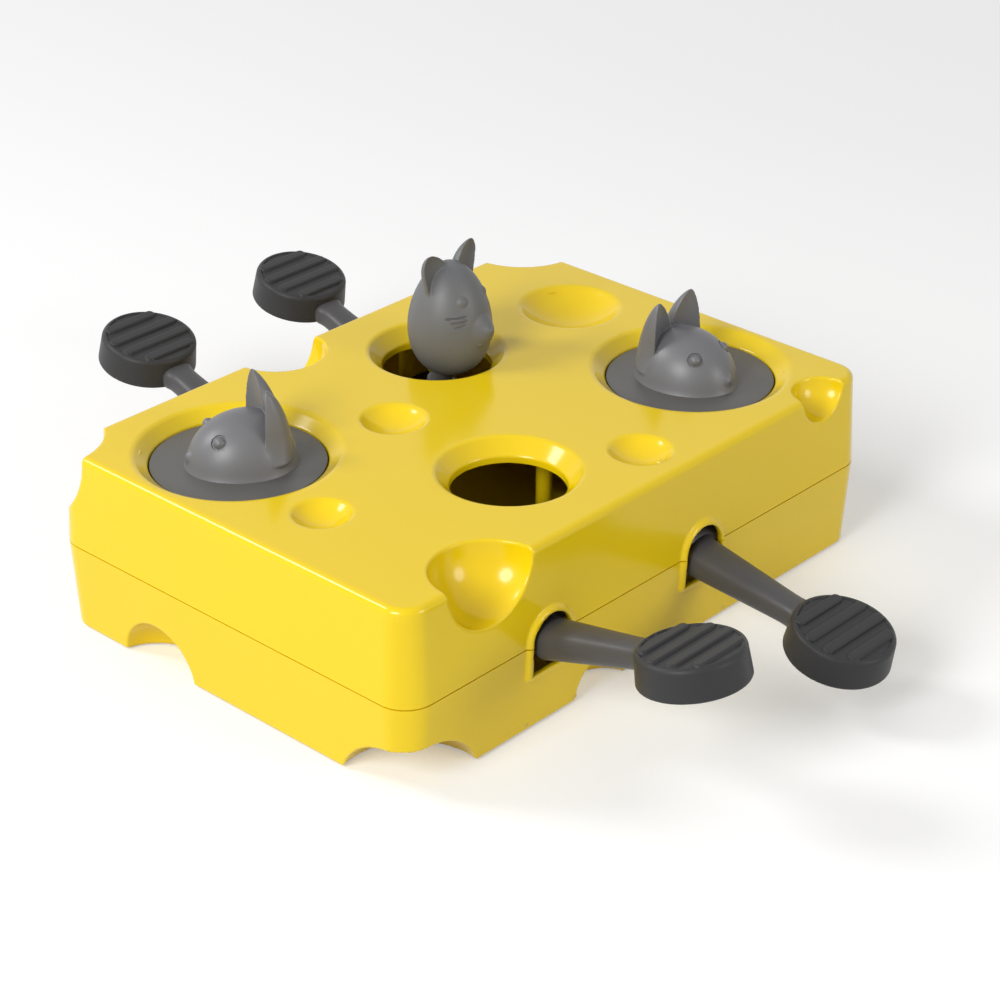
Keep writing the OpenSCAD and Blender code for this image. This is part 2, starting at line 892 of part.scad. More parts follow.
// Screws that hold the two shells together
module case_screws() {
    color(steel)
        both_turns()
            for (b = boss_places)
                translate([b[0], b[1], seat_z - screw_head_h]) {
                    cylinder(h = screw_head_h, r = screw_head_r);
                    cylinder(h = part_z + screw_grip - seat_z + screw_head_h, r = screw_r);
                }
}

// Screws of a lever with an egg mouse: pedal and neck
module egg_lever_screws() {
    color(steel) {
        at_pedal_screw()
            small_screw(tongue_t);
        at_neck_screw()
            small_screw(plate_t);
    }
}

// Screws of a lever with a disc: pedal, post and the keeper of the disc
module disc_lever_screws() {
    color(steel) {
        at_pedal_screw()
            small_screw(tongue_t);
        at_post_screw()
            small_screw(foot_t);
        over_foot()
            translate([0, 0, spigot_top]) {
                translate([0, 0, small_end_gap - small_grip])
                    cylinder(h = small_grip, r = pin_screw_r);
                cylinder(h = keeper_h, r = keeper_r);
            }
    }
}

// Screws that hold a head on its disc
module head_screws() {
    color(steel)
        over_foot()
            at_head_screws()
                translate([0, 0, disc_top - disc_t])
                    small_screw(disc_t);
}

// Anti-slip pads let into the underside
module foot_pads() {
    color(rubber)
        for (sx = [-1, 1])
            for (sy = [-1, 1])
                translate([sx * pad_x, sy * pad_y, -pad_proud])
                    cylinder(h = pad_t, r = pad_r);
}

// The four levers' places: name of the lever, X of its axle, rest tilt, half turn
module front_left() { lever_frame(-outer_lever_x, rest_up, 0) children(); }
module front_right() { lever_frame(inner_lever_x, rest_down, 0) children(); }
module rear_left() { lever_frame(inner_lever_x, rest_up, 180) children(); }
module rear_right() { lever_frame(-outer_lever_x, rest_up, 180) children(); }

upper_case();
lower_case();
front_left() disc_lever();  // lever_front_left
front_right() egg_lever();  // lever_front_right
rear_left() egg_lever();  // lever_rear_left
rear_right() disc_lever();  // lever_rear_right
front_left() pedal();  // pedal_front_left
front_right() pedal();  // pedal_front_right
rear_left() pedal();  // pedal_rear_left
rear_right() pedal();  // pedal_rear_right
axle(-outer_lever_x, 0);  // axle_front_left
axle(inner_lever_x, 0);  // axle_front_right
axle(inner_lever_x, 180);  // axle_rear_left
axle(-outer_lever_x, 180);  // axle_rear_right
front_left() post();  // post_left
rear_right() post();  // post_right
front_left() disc();  // disc_left
rear_right() disc();  // disc_right
front_left() head_mouse(left_look);  // head_mouse_left
rear_right() head_mouse(right_look - 180);  // head_mouse_right
rear_left() egg_mouse();  // egg_mouse_front
front_right() egg_mouse();  // egg_mouse_rear
case_screws();
front_left() disc_lever_screws();  // lever_screws_front_left
front_right() egg_lever_screws();  // lever_screws_front_right
rear_left() egg_lever_screws();  // lever_screws_rear_left
rear_right() disc_lever_screws();  // lever_screws_rear_right
front_left() head_screws();  // head_screws_left
rear_right() head_screws();  // head_screws_right
foot_pads();
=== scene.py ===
"""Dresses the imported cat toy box: cheese-shaped case, foot levers, discs and toy mice.

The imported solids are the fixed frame. Every piece here is built in millimetres in the same
frame, turned into metres when its mesh is made, and rides on the body that carries it.
"""

import logging
import math
from dataclasses import dataclass, field
from enum import Enum
from typing import Callable, Optional, Sequence

import bpy
import numpy as np
from mathutils import Matrix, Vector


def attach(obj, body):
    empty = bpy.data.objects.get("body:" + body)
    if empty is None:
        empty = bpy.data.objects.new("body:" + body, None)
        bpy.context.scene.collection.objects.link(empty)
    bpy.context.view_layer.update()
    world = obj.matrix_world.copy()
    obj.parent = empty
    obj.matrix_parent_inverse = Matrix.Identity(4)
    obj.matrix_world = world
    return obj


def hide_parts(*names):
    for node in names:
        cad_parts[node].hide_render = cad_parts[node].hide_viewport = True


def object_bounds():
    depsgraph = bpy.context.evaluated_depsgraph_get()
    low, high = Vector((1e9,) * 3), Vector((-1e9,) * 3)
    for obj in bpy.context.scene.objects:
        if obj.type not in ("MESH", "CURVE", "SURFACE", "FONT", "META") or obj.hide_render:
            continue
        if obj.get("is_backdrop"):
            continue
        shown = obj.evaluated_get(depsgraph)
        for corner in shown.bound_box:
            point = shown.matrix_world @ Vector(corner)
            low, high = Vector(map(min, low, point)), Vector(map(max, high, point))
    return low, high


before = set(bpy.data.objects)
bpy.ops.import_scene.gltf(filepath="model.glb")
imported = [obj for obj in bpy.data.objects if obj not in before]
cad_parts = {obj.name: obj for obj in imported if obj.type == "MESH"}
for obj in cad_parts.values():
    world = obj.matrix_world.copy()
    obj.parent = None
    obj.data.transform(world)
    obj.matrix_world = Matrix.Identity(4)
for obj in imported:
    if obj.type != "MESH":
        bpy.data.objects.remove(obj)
CAD_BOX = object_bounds()

Array = np.ndarray
Solid = Callable[[Array], Array]
Rule = Callable[[Array, Array], Array]
Nodes = bpy.types.NodeTree
Socket = bpy.types.NodeSocket

MM = 0.001
log = logging.getLogger("toy_box")


class Body(str, Enum):
    """The moving bodies of the toy, as the record names them."""

    CASE = "case"
    FRONT_LEFT = "front_left"
    SWIVEL_LEFT = "swivel_left"
    FRONT_RIGHT = "front_right"
    REAR_LEFT = "rear_left"
    REAR_RIGHT = "rear_right"
    SWIVEL_RIGHT = "swivel_right"


class Slot(str, Enum):
    """The record's material slots."""

    CASE = "case"
    LEVER = "lever_plastic"
    MOUSE = "mouse_plastic"
    DISC = "disc_plastic"
    STEEL = "steel"
    RUBBER = "pad_rubber"


# ---- forms as distance fields -------------------------------------------------------------


def within(a: Array, b: Array, r: float) -> Array:
    """Signed distance to what lies in both forms a and b.

    Near the edge between them it is the distance to a circle of radius r, in millimetres, that
    touches both faces.
    """
    ua, ub = np.maximum(a + r, 0.0), np.maximum(b + r, 0.0)
    return np.minimum(np.maximum(a, b), -r) + np.sqrt(ua * ua + ub * ub)


def merged(a: Array, b: Array, r: float) -> Array:
    """Signed distance to what lies in either form, with the valley filled to radius r."""
    ua, ub = np.maximum(r - a, 0.0), np.maximum(r - b, 0.0)
    return np.maximum(np.minimum(a, b), r) - np.sqrt(ua * ua + ub * ub)


def ball(p: Array, centre: Sequence[float], r: float) -> Array:
    """Signed distance to a ball: distance to its centre less its radius."""
    return np.linalg.norm(p - np.asarray(centre, float), axis=1) - r


@dataclass
class Form:
    """A solid as a signed distance, with local rules worked in one after the other."""

    base: Solid
    rules: list[tuple[Rule, Array, Array]] = field(default_factory=list)

    def work(self, rule: Rule, low: Sequence[float], high: Sequence[float]) -> None:
        """Adds a rule that changes the distance inside a box.

        Args:
            rule: Gives new distances from the old ones and the points.
            low: Lowest corner of the box where the rule can matter.
            high: Highest corner of that box.
        """
        self.rules.append((rule, np.asarray(low, float), np.asarray(high, float)))

    def __call__(self, p: Array) -> Array:
        """Signed distances after all the rules.

        Args:
            p: Points of shape (n, 3).

        Returns:
            One distance for each point.
        """
        v = self.base(p)
        for rule, low, high in self.rules:
            near = np.flatnonzero(((p > low) & (p < high)).all(1))
            if len(near):
                v[near] = rule(v[near], p[near])
        return v


def gradient(solid: Solid, p: Array, step: float = 0.02) -> Array:
    """Outward normals: the unit gradient of the distance, from four points of a tetrahedron.

    Args:
        solid: The distance field.
        p: Points of shape (n, 3).
        step: Distance to the four sample points.

    Returns:
        Unit vectors of shape (n, 3).
    """
    corners = np.array([[1, -1, -1], [-1, -1, 1], [-1, 1, -1], [1, 1, 1]], float)
    g = sum(c * solid(p + step * c)[:, None] for c in corners)
    return g / (np.linalg.norm(g, axis=1)[:, None] + 1e-12)


@dataclass
class Skin:
    """A mesh in millimetres: points, and faces as rows of point numbers."""

    points: Array
    faces: list[Array]

    def moved(self, place: "Place") -> "Skin":
        """The same skin at another place."""
        return Skin(place.apply(self.points), self.faces)

    @staticmethod
    def union(skins: Sequence["Skin"]) -> "Skin":
        """Several skins as one.

        Args:
            skins: The skins.

        Returns:
            The skin with all their points and faces.
        """
        faces, start = [], 0
        for skin in skins:
            faces.extend(f + start for f in skin.faces)
            start += len(skin.points)
        return Skin(np.concatenate([skin.points for skin in skins]), faces)


@dataclass(frozen=True)
class Moulder:
    """Turns a distance field into a skin of four-sided faces on a grid.

    Each grid cell that the surface passes gets one point: the one that lies best in the tangent
    planes where the cell's edges are crossed, drawn slightly to their middle. A face joins the
    four cells round every crossed edge, so flats stay flat and edges stay sharp.
    """

    pitch: float
    pull: float = 0.05
    batch: int = 1_500_000

    def sample(self, solid: Solid, low: Array, size: Array) -> Array:
        """Distances on the whole grid, slab by slab.

        Args:
            solid: The distance field.
            low: Lowest corner of the grid.
            size: Number of grid points along each axis.

        Returns:
            An array of that size.
        """
        axes = [low[i] + self.pitch * np.arange(size[i]) for i in range(3)]
        values = np.empty(size, np.float32)
        slab = max(1, self.batch // int(size[1] * size[2]))
        across = np.stack(np.meshgrid(axes[1], axes[2], indexing="ij"), -1).reshape(-1, 2)
        for i in range(0, size[0], slab):
            xs = axes[0][i:i + slab]
            p = np.empty((len(xs), len(across), 3))
            p[..., 0] = xs[:, None]
            p[..., 1:] = across
            values[i:i + len(xs)] = solid(p.reshape(-1, 3)).reshape(len(xs), size[1], size[2])
        return values

    def crossings(self, solid: Solid, values: Array, low: Array, axis: int) -> tuple[Array, Array]:
        """Where the grid's edges along one axis pass the surface.

        Args:
            solid: The distance field.
            values: Distances on the grid.
            low: Lowest corner of the grid.
            axis: The axis that the edges run along.

        Returns:
            The crossing points, and the numbers of the four cells round each edge.
        """
        size = np.array(values.shape)
        first, last = [slice(None)] * 3, [slice(None)] * 3
        first[axis], last[axis] = slice(0, -1), slice(1, None)
        inside = values < 0
        at = np.argwhere(inside[tuple(first)] != inside[tuple(last)])
        b, c = (axis + 1) % 3, (axis + 2) % 3
        free = (at[:, b] > 0) & (at[:, b] < size[b] - 1) & (at[:, c] > 0) & (at[:, c] < size[c] - 1)
        at = at[free]
        ahead = at.copy()
        ahead[:, axis] += 1
        v0, v1 = values[tuple(at.T)].astype(float), values[tuple(ahead.T)].astype(float)
        foot, t = low + self.pitch * at, v0 / (v0 - v1)
        p = foot.copy()
        p[:, axis] += self.pitch * t
        # The distance at this first guess narrows the crossing down for a second one.
        f = solid(p)
        same = (f < 0) == (v0 < 0)
        t0, f0 = np.where(same, t, 0.0), np.where(same, f, v0)
        t1, f1 = np.where(same, 1.0, t), np.where(same, v1, f)
        share = f0 / np.where(f0 == f1, 1.0, f0 - f1)
        p = foot
        p[:, axis] += self.pitch * (t0 + (t1 - t0) * np.clip(share, 0, 1))
        cells = []
        for db, dc in ((-1, -1), (0, -1), (0, 0), (-1, 0)):
            q = at.copy()
            q[:, b] += db
            q[:, c] += dc
            cells.append((q[:, 0] * (size[1] - 1) + q[:, 1]) * (size[2] - 1) + q[:, 2])
        ring = np.stack(cells, 1)
        turned = v0 >= 0
        ring[turned] = ring[turned][:, ::-1]
        return p, ring

    def skin(self, solid: Solid, low: Sequence[float], high: Sequence[float]) -> Skin:
        """Meshes the surface of a solid between two corners.

        Args:
            solid: The distance field.
            low: Lowest corner of the box to mesh.
            high: Highest corner of that box.

        Returns:
            The skin, with its faces outwards.
        """
        corner = np.asarray(low, float)
        size = np.ceil((np.asarray(high, float) - corner) / self.pitch).astype(int) + 1
        values = self.sample(solid, corner, size)
        found = [self.crossings(solid, values, corner, axis) for axis in range(3)]
        points = np.concatenate([f[0] for f in found])
        rings = np.concatenate([f[1] for f in found])
        normals = gradient(solid, points)
        used, faces = np.unique(rings, return_inverse=True)
        faces = faces.reshape(rings.shape)
        count, flat = len(used), faces.ravel()
        weight = np.bincount(flat, minlength=count).astype(float)
        height = (normals * points).sum(1)
        square, side, middle = np.zeros((count, 3, 3)), np.zeros((count, 3)), np.zeros((count, 3))
        for i in range(3):
            middle[:, i] = np.bincount(flat, np.repeat(points[:, i], 4), count) / weight
            side[:, i] = np.bincount(flat, np.repeat(normals[:, i] * height, 4), count)
            for j in range(i, 3):
                total = np.bincount(flat, np.repeat(normals[:, i] * normals[:, j], 4), count)
                square[:, i, j] = square[:, j, i] = total
        square += self.pull * np.eye(3)
        side += self.pull * middle
        best = np.linalg.solve(square, side[..., None])[..., 0]
        cell = np.stack(np.unravel_index(used, size - 1), 1)
        floor = corner + self.pitch * cell
        return Skin(np.clip(best, floor - 0.1 * self.pitch, floor + 1.1 * self.pitch), [faces])


# ---- places and swept surfaces ------------------------------------------------------------


@dataclass(frozen=True)
class Place:
    """A rigid move in millimetres: a turning matrix and a shift."""

    turn: Array
    shift: Array

    def apply(self, p: Array) -> Array:
        """The points p after the move."""
        return p @ self.turn.T + self.shift

    def then(self, other: "Place") -> "Place":
        """This move followed by another."""
        return Place(other.turn @ self.turn, other.turn @ self.shift + other.shift)

    def inverse(self) -> "Place":
        """The move back."""
        return Place(self.turn.T, -self.turn.T @ self.shift)


def shifted(x: float, y: float, z: float) -> Place:
    """A move without a turn."""
    return Place(np.eye(3), np.array([x, y, z], float))


def turned(axis: int, degrees: float) -> Place:
    """A turn round one of the main axes.

    Args:
        axis: 0 for X, 1 for Y or 2 for Z.
        degrees: The angle, counterclockwise seen against the axis.

    Returns:
        The move.
    """
    c, s = math.cos(math.radians(degrees)), math.sin(math.radians(degrees))
    m = np.eye(3)
    i, j = (axis + 1) % 3, (axis + 2) % 3
    m[i, i] = m[j, j] = c
    m[i, j], m[j, i] = -s, s
    return Place(m, np.zeros(3))


def carried(solid: Solid, place: Place) -> Solid:
    """A form's distance field after a move."""
    back = place.inverse()
    return lambda p: solid(back.apply(p))


def soft_corners(points: Sequence[tuple[float, float]], radii: Sequence[float],
                 steps: int = 5) -> Array:
    """An outline whose inner corners are rounded by arcs.

    Each corner is cut back along both its sides by r / tan(half its angle), and the arc's points
    run from one side to the other.

    Args:
        points: Corners of the open outline.
        radii: Radius at each inner corner.
        steps: Points on each arc.

    Returns:
        The outline as an array of shape (n, 2).
    """
    p = np.asarray(points, float)
    out = [p[:1]]
    for a, b, c, r in zip(p[:-2], p[1:-1], p[2:], radii):
        u, v = (a - b) / np.linalg.norm(a - b), (c - b) / np.linalg.norm(c - b)
        half = math.acos(float(np.clip(u @ v, -1, 1))) / 2
        if r <= 0:
            out.append(b[None])
            continue
        middle = b + (u + v) / np.linalg.norm(u + v) * r / math.sin(half)
        start, end = b + u * r / math.tan(half) - middle, b + v * r / math.tan(half) - middle
        t = np.linspace(0, 1, steps)[:, None]
        sweep = math.pi - 2 * half
        arc = (np.sin((1 - t) * sweep) * start + np.sin(t * sweep) * end) / math.sin(sweep)
        out.append(middle + arc)
    out.append(p[-1:])
    return np.concatenate(out)


def lathe(outline: Array, turns: int = 72) -> Skin:
    """A turned surface: the point at angle a and station i is (r_i cos a, r_i sin a, z_i).

    Args:
        outline: Radius and height of each station, from the bottom round to the top.
        turns: Number of steps round.

    Returns:
        The closed skin; stations on the axis close it as fans.
    """
    a = np.linspace(0, 2 * math.pi, turns, endpoint=False)
    r, z = outline[:, 0], outline[:, 1]
    x, y = r[:, None] * np.cos(a), r[:, None] * np.sin(a)
    return tube(np.stack([x, y, np.broadcast_to(z[:, None], x.shape)], -1))


def tube(rings: Array) -> Skin:
    """A closed tube through rings of points, its ends closed by flat fans.

    Args:
        rings: Points of shape (stations, steps, 3), counterclockwise seen against the path.

    Returns:
        The skin.
    """
    n, m = rings.shape[:2]
    ids = np.arange(n * m).reshape(n, m)
    nxt = np.roll(ids, -1, axis=1)
    sides = np.stack([ids[:-1], nxt[:-1], nxt[1:], ids[1:]], -1).reshape(-1, 4)
    points = np.concatenate([rings.reshape(-1, 3), rings[0].mean(0)[None], rings[-1].mean(0)[None]])
    low = np.stack([np.full(m, n * m), nxt[0], ids[0]], -1)
    high = np.stack([np.full(m, n * m + 1), ids[-1], nxt[-1]], -1)
    return Skin(points, [sides, low, high])


def loft(path: Array, half_w: Array, half_h: Array, power: float, steps: int = 48) -> Skin:
    """A bar along Y whose section is a rounded oblong.

    At station i the point at angle a is the path's point plus, across X and Z,
    (w_i sign(cos a) |cos a|^(2/power), h_i sign(sin a) |sin a|^(2/power)).

    Args:
        path: Middle of each section, of shape (n, 3).
        half_w: Half widths along X.
        half_h: Half heights along Z.
        power: 2 gives ellipses, more gives squarer sections.
        steps: Points round each section.

    Returns:
        The closed skin.
    """
    a = np.linspace(0, 2 * math.pi, steps, endpoint=False)
    c = np.sign(np.cos(a)) * np.abs(np.cos(a)) ** (2 / power)
    s = np.sign(np.sin(a)) * np.abs(np.sin(a)) ** (2 / power)
    rings = np.repeat(path[:, None, :], steps, 1)
    rings[..., 0] += half_w[:, None] * c
    rings[..., 2] += half_h[:, None] * s
    skin = tube(rings)
    return Skin(skin.points, [f[:, ::-1] for f in skin.faces]) if path[0, 1] < path[-1, 1] else skin


def block(low: Sequence[float], high: Sequence[float], bevel: float = 0.4) -> Skin:
    """A plate with slightly cut edges, as a bar along Y with eight-sided sections.

    Args:
        low: Lowest corner.
        high: Highest corner.
        bevel: Size of the cut edges.

    Returns:
        The closed skin.
    """
    x0, y0, z0 = low
    x1, y1, z1 = high
    b = bevel
    outline = np.array([[x1, z0 + b], [x1, z1 - b], [x1 - b, z1], [x0 + b, z1],
                        [x0, z1 - b], [x0, z0 + b], [x0 + b, z0], [x1 - b, z0]])
    middle = np.array([(x0 + x1) / 2, (z0 + z1) / 2])
    inner = middle + (outline - middle) * (1 - 2 * b / np.array([x1 - x0, z1 - z0]))
    rings = []
    for y, line in ((y0, inner), (y0 + b, outline), (y1 - b, outline), (y1, inner)):
        rings.append(np.stack([line[:, 0], np.full(8, y), line[:, 1]], -1))
    skin = tube(np.array(rings))
    return Skin(skin.points, [f[:, ::-1] for f in skin.faces])


# ---- finishes -----------------------------------------------------------------------------


WHITE = (1.0, 1.0, 1.0, 1.0)
NOISE_SPAN = (0.3, 0.7)
WAVE_DETAIL, GRAIN_DETAIL = 3.0, 2.0


def linear(r: int, g: int, b: int) -> list[float]:
    """A colour written as 0 to 255 on the screen, as the shader's linear values."""
    c = [v / 255 for v in (r, g, b)]
    return [v / 12.92 if v <= 0.04045 else ((v + 0.055) / 1.055) ** 2.4 for v in c]


def shader_node(tree: Nodes, kind: str, inputs: Optional[dict] = None,
                links: Optional[dict] = None, operation: str = "") -> bpy.types.Node:
    """Adds a node to a shader.

    Args:
        tree: The nodes to add to.
        kind: The node's type, without ShaderNode in front.
        inputs: Constants, by the name or number of their socket.
        links: Outputs of other nodes, by the name or number of the socket that they feed.
        operation: What a math node works out.

    Returns:
        The node.
    """
    made = tree.nodes.new("ShaderNode" + kind)
    if operation:
        made.operation = operation
    for key, value in (inputs or {}).items():
        made.inputs[key].default_value = value
    for key, source in (links or {}).items():
        tree.links.new(source, made.inputs[key])
    return made


def ramp(tree: Nodes, value: Socket, start: float, end: float,
         span: tuple[float, float]) -> Socket:
    """A level that goes evenly from start to end while a value crosses a span."""
    levels = {"From Min": span[0], "From Max": span[1], "To Min": start, "To Max": end}
    return shader_node(tree, "MapRange", levels, {"Value": value}).outputs["Result"]


@dataclass(frozen=True)
class Moulded:
    """Moulded plastic: a slightly uneven colour and gloss, and the fine grain of the mould.

    The wave is a wide unevenness of colour and surface, the grain a fine one of gloss and
    surface; their sizes and depths are in millimetres.
    """

    name: str
    colour: tuple[int, int, int]
    rough: float = 0.3
    rough_spread: float = 0.04
    tone_spread: float = 0.05
    grain_size: float = 1.4
    grain_depth: float = 0.01
    wave_size: float = 30.0
    wave_depth: float = 0.02
    specular: float = 0.5
    metallic: float = 0.0

    def material(self) -> bpy.types.Material:
        """The procedural material on object coordinates.

        Returns:
            The material, built at the first call and found again at later ones.
        """
        found = bpy.data.materials.get(self.name)
        if found:
            return found
        mat = bpy.data.materials.new(self.name)
        mat.use_nodes = True
        tree = mat.node_tree
        shader = tree.nodes["Principled BSDF"]
        shader.inputs["Metallic"].default_value = self.metallic
        shader.inputs["Specular IOR Level"].default_value = self.specular
        place = shader_node(tree, "TexCoord").outputs["Object"]
        cloud = self.noise(tree, place, self.wave_size, WAVE_DETAIL)
        speck = self.noise(tree, place, self.grain_size, GRAIN_DETAIL)
        dark, light = ((*[min(1.0, v * (1 + s * self.tone_spread)) for v in linear(*self.colour)],
                        1.0) for s in (-1, 1))
        mix = shader_node(tree, "Mix", {6: dark, 7: light}, {0: cloud})
        mix.data_type = "RGBA"
        gloss = ramp(tree, speck, self.rough - self.rough_spread, self.rough + self.rough_spread,
                     NOISE_SPAN)
        wave = self.bump(tree, cloud, self.wave_depth)
        grain = self.bump(tree, speck, self.grain_depth, wave)
        for source, name in ((mix.outputs[2], "Base Color"), (gloss, "Roughness"),
                             (grain, "Normal")):
            tree.links.new(source, shader.inputs[name])
        return mat

    @staticmethod
    def noise(tree: Nodes, place: Socket, size: float, detail: float) -> Socket:
        """A noise whose blobs are about size millimetres wide, with some finer layers."""
        inputs = {"Scale": 1 / (size * MM), "Detail": detail}
        return shader_node(tree, "TexNoise", inputs, {"Vector": place}).outputs["Fac"]

    @staticmethod
    def bump(tree: Nodes, height: Socket, depth: float, under: Optional[Socket] = None) -> Socket:
        """Normals bumped by a value.

        Args:
            tree: The nodes to add to.
            height: The value.
            depth: Depth of the bumps in millimetres.
            under: Normals of a bump below.

        Returns:
            The bumped normals.
        """
        links = {"Height": height, **({"Normal": under} if under else {})}
        inputs = {"Strength": 1.0, "Distance": depth * MM}
        return shader_node(tree, "Bump", inputs, links).outputs["Normal"]


YELLOW = Moulded("cheese_yellow_plastic", (233, 200, 14), rough=0.18, rough_spread=0.01,
                 tone_spread=0.01, wave_depth=0.02, grain_depth=0.0004, specular=0.36)
DARK = Moulded("dark_grey_plastic", (70, 69, 71), rough=0.4, tone_spread=0.03, grain_size=0.5,
               grain_depth=0.002, wave_depth=0.01, specular=0.4)
PEDAL = Moulded("pedal_grey_plastic", (53, 53, 54), rough=0.45, tone_spread=0.04, grain_size=0.5,
                grain_depth=0.003, wave_depth=0.01, specular=0.2)
MOUSE = Moulded("mouse_grey_plastic", (105, 105, 108), rough=0.4, tone_spread=0.03,
                grain_size=0.6, grain_depth=0.002, wave_depth=0.01)
EGG = Moulded("egg_mouse_grey_plastic", (101, 102, 104), rough=0.45, tone_spread=0.03,
              grain_size=0.6, grain_depth=0.002, wave_depth=0.01, specular=0.4)
DISC = Moulded("disc_grey_plastic", (84, 83, 81), rough=0.45, tone_spread=0.03, grain_size=0.6,
               grain_depth=0.002)
STEEL = Moulded("zinc_plated_steel", (190, 192, 198), rough=0.3, metallic=1.0, grain_size=0.4,
                grain_depth=0.006)
RUBBER = Moulded("pad_rubber", (34, 34, 35), rough=0.75, tone_spread=0.12, grain_size=0.8,
                 grain_depth=0.03, specular=0.3)


# ---- pieces -------------------------------------------------------------------------------


def make_mesh(name: str, skin: Skin) -> bpy.types.Mesh:
    """Puts a skin into a Blender mesh, in metres.

    Args:
        name: Name of the mesh.
        skin: Points and faces in millimetres.

    Returns:
        The mesh, shaded smooth.
    """
    mesh = bpy.data.meshes.new(name)
    sizes = np.concatenate([np.full(len(f), f.shape[1]) for f in skin.faces])
    corners = np.concatenate([f.ravel() for f in skin.faces]).astype(np.int32)
    mesh.vertices.add(len(skin.points))
    mesh.vertices.foreach_set("co", (skin.points * MM).astype(np.float32).ravel())
    mesh.loops.add(len(corners))
    mesh.loops.foreach_set("vertex_index", corners)
    mesh.polygons.add(len(sizes))
    starts = np.concatenate([[0], np.cumsum(sizes)[:-1]]).astype(np.int32)
    mesh.polygons.foreach_set("loop_start", starts)
    mesh.polygons.foreach_set("use_smooth", np.ones(len(sizes), bool))
    mesh.update(calc_edges=True)
    return mesh


def read(items: bpy.types.bpy_prop_collection, name: str, width: int = 1,
         kind: type = np.int32) -> Array:
    """One property of all the points, corners or faces of a mesh.

    Args:
        items: The points, corners or faces.
        name: Name of the property.
        width: How many numbers it has for each.
        kind: Type of the numbers.

    Returns:
        An array with a row, or a number, for each.
    """
    values = np.empty(len(items) * width, kind)
    items.foreach_get(name, values)
    return values.reshape(-1, width) if width > 1 else values


def true_normals(mesh: bpy.types.Mesh, solid: Solid, crease: float = 0.93, fold: float = 0.6,
                 step_in: float = 0.35) -> None:
    """Shades a mesh with the exact normals of the form that it was meshed from.

    At a corner of a face the normal is the form's gradient there. Where that differs much from
    the face's own normal, the corner lies on a sharp edge, and the gradient is taken a small
    step towards the face's middle. Where that differs still more, the face keeps its own.

    Args:
        mesh: The mesh in metres.
        solid: The distance field in millimetres.
        crease: Cosine of the angle past which a corner lies on an edge.
        fold: Cosine of the angle past which the face's own normal is kept.
        step_in: Share of the way to the face's middle.
    """
    points = read(mesh.vertices, "co", 3, np.float32).astype(float) / MM
    of_loop = read(mesh.loops, "vertex_index")
    sizes = read(mesh.polygons, "loop_total")
    face_normal = np.repeat(read(mesh.polygons, "normal", 3, np.float32), sizes, 0)
    middle = np.repeat(read(mesh.polygons, "center", 3, np.float32), sizes, 0) / MM
    normals = gradient(solid, points)[of_loop]
    odd = np.flatnonzero((normals * face_normal).sum(1) < crease)
    start = points[of_loop[odd]]
    again = gradient(solid, start + step_in * (middle[odd] - start))
    own = (again * face_normal[odd]).sum(1) < fold
    again[own] = face_normal[odd][own]
    normals[odd] = again
    mesh.normals_split_custom_set(normals.tolist())


def add_piece(name: str, skin: Skin, finish: Moulded, body: Body, slot: Slot,
              replaces: Sequence[str] = (), solid: Optional[Solid] = None,
              edge_angle: float = 38.0) -> bpy.types.Object:
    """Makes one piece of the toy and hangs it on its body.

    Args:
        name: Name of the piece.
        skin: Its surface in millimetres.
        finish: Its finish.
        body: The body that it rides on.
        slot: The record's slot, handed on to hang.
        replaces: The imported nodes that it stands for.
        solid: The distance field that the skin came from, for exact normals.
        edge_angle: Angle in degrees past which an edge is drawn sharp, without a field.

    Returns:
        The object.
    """
    mesh = make_mesh(name, skin)
    if solid is None:
        mesh.set_sharp_from_angle(angle=math.radians(edge_angle))
    else:
        true_normals(mesh, solid)
    return hang(name, mesh, finish, body, slot, replaces)


def hang(name: str, mesh: bpy.types.Mesh, finish: Moulded, body: Body, slot: Slot,
         replaces: Sequence[str]) -> bpy.types.Object:
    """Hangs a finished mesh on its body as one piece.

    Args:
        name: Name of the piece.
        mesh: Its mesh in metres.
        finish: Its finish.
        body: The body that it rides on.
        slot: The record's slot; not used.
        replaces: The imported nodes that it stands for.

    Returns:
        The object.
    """
    mesh.materials.append(finish.material())
    piece = bpy.data.objects.new(name, mesh)
    bpy.context.scene.collection.objects.link(piece)
    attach(piece, body.value)
    if replaces:
        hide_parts(*replaces)
    log.info("%s: %d faces on %s", name, len(mesh.polygons), body.value)
    return piece


def thinned(mesh: bpy.types.Mesh, free: Array, keep: int) -> bpy.types.Mesh:
    """Merges faces where the mask allows it, until about keep triangles are left.

    Args:
        mesh: The mesh to thin.
        free: True for each point whose faces may merge.
        keep: Number of triangles to keep in all.

    Returns:
        The thinned mesh.
    """
    group_name = "free"
    holder = bpy.data.objects.new("thinning", mesh)
    bpy.context.scene.collection.objects.link(holder)
    group = holder.vertex_groups.new(name=group_name)
    group.add(np.flatnonzero(free).tolist(), 1.0, "REPLACE")
    step = holder.modifiers.new("merge", "DECIMATE")
    step.decimate_type = "COLLAPSE"
    step.vertex_group = group.name
    step.ratio = min(1.0, keep / (2 * len(mesh.polygons)))
    graph = bpy.context.evaluated_depsgraph_get()
    result = bpy.data.meshes.new_from_object(holder.evaluated_get(graph))
    bpy.data.objects.remove(holder)
    if group_name in result.attributes:
        result.attributes.remove(result.attributes[group_name])
    return result


# ---- case ---------------------------------------------------------------------------------


@dataclass(frozen=True)
class RoundHole:
    """A round mouse hole in the lid: place, radii and the depth of its bevel."""

    x: float
    y: float
    rim_r: float
    hole_r: float
    bevel: float


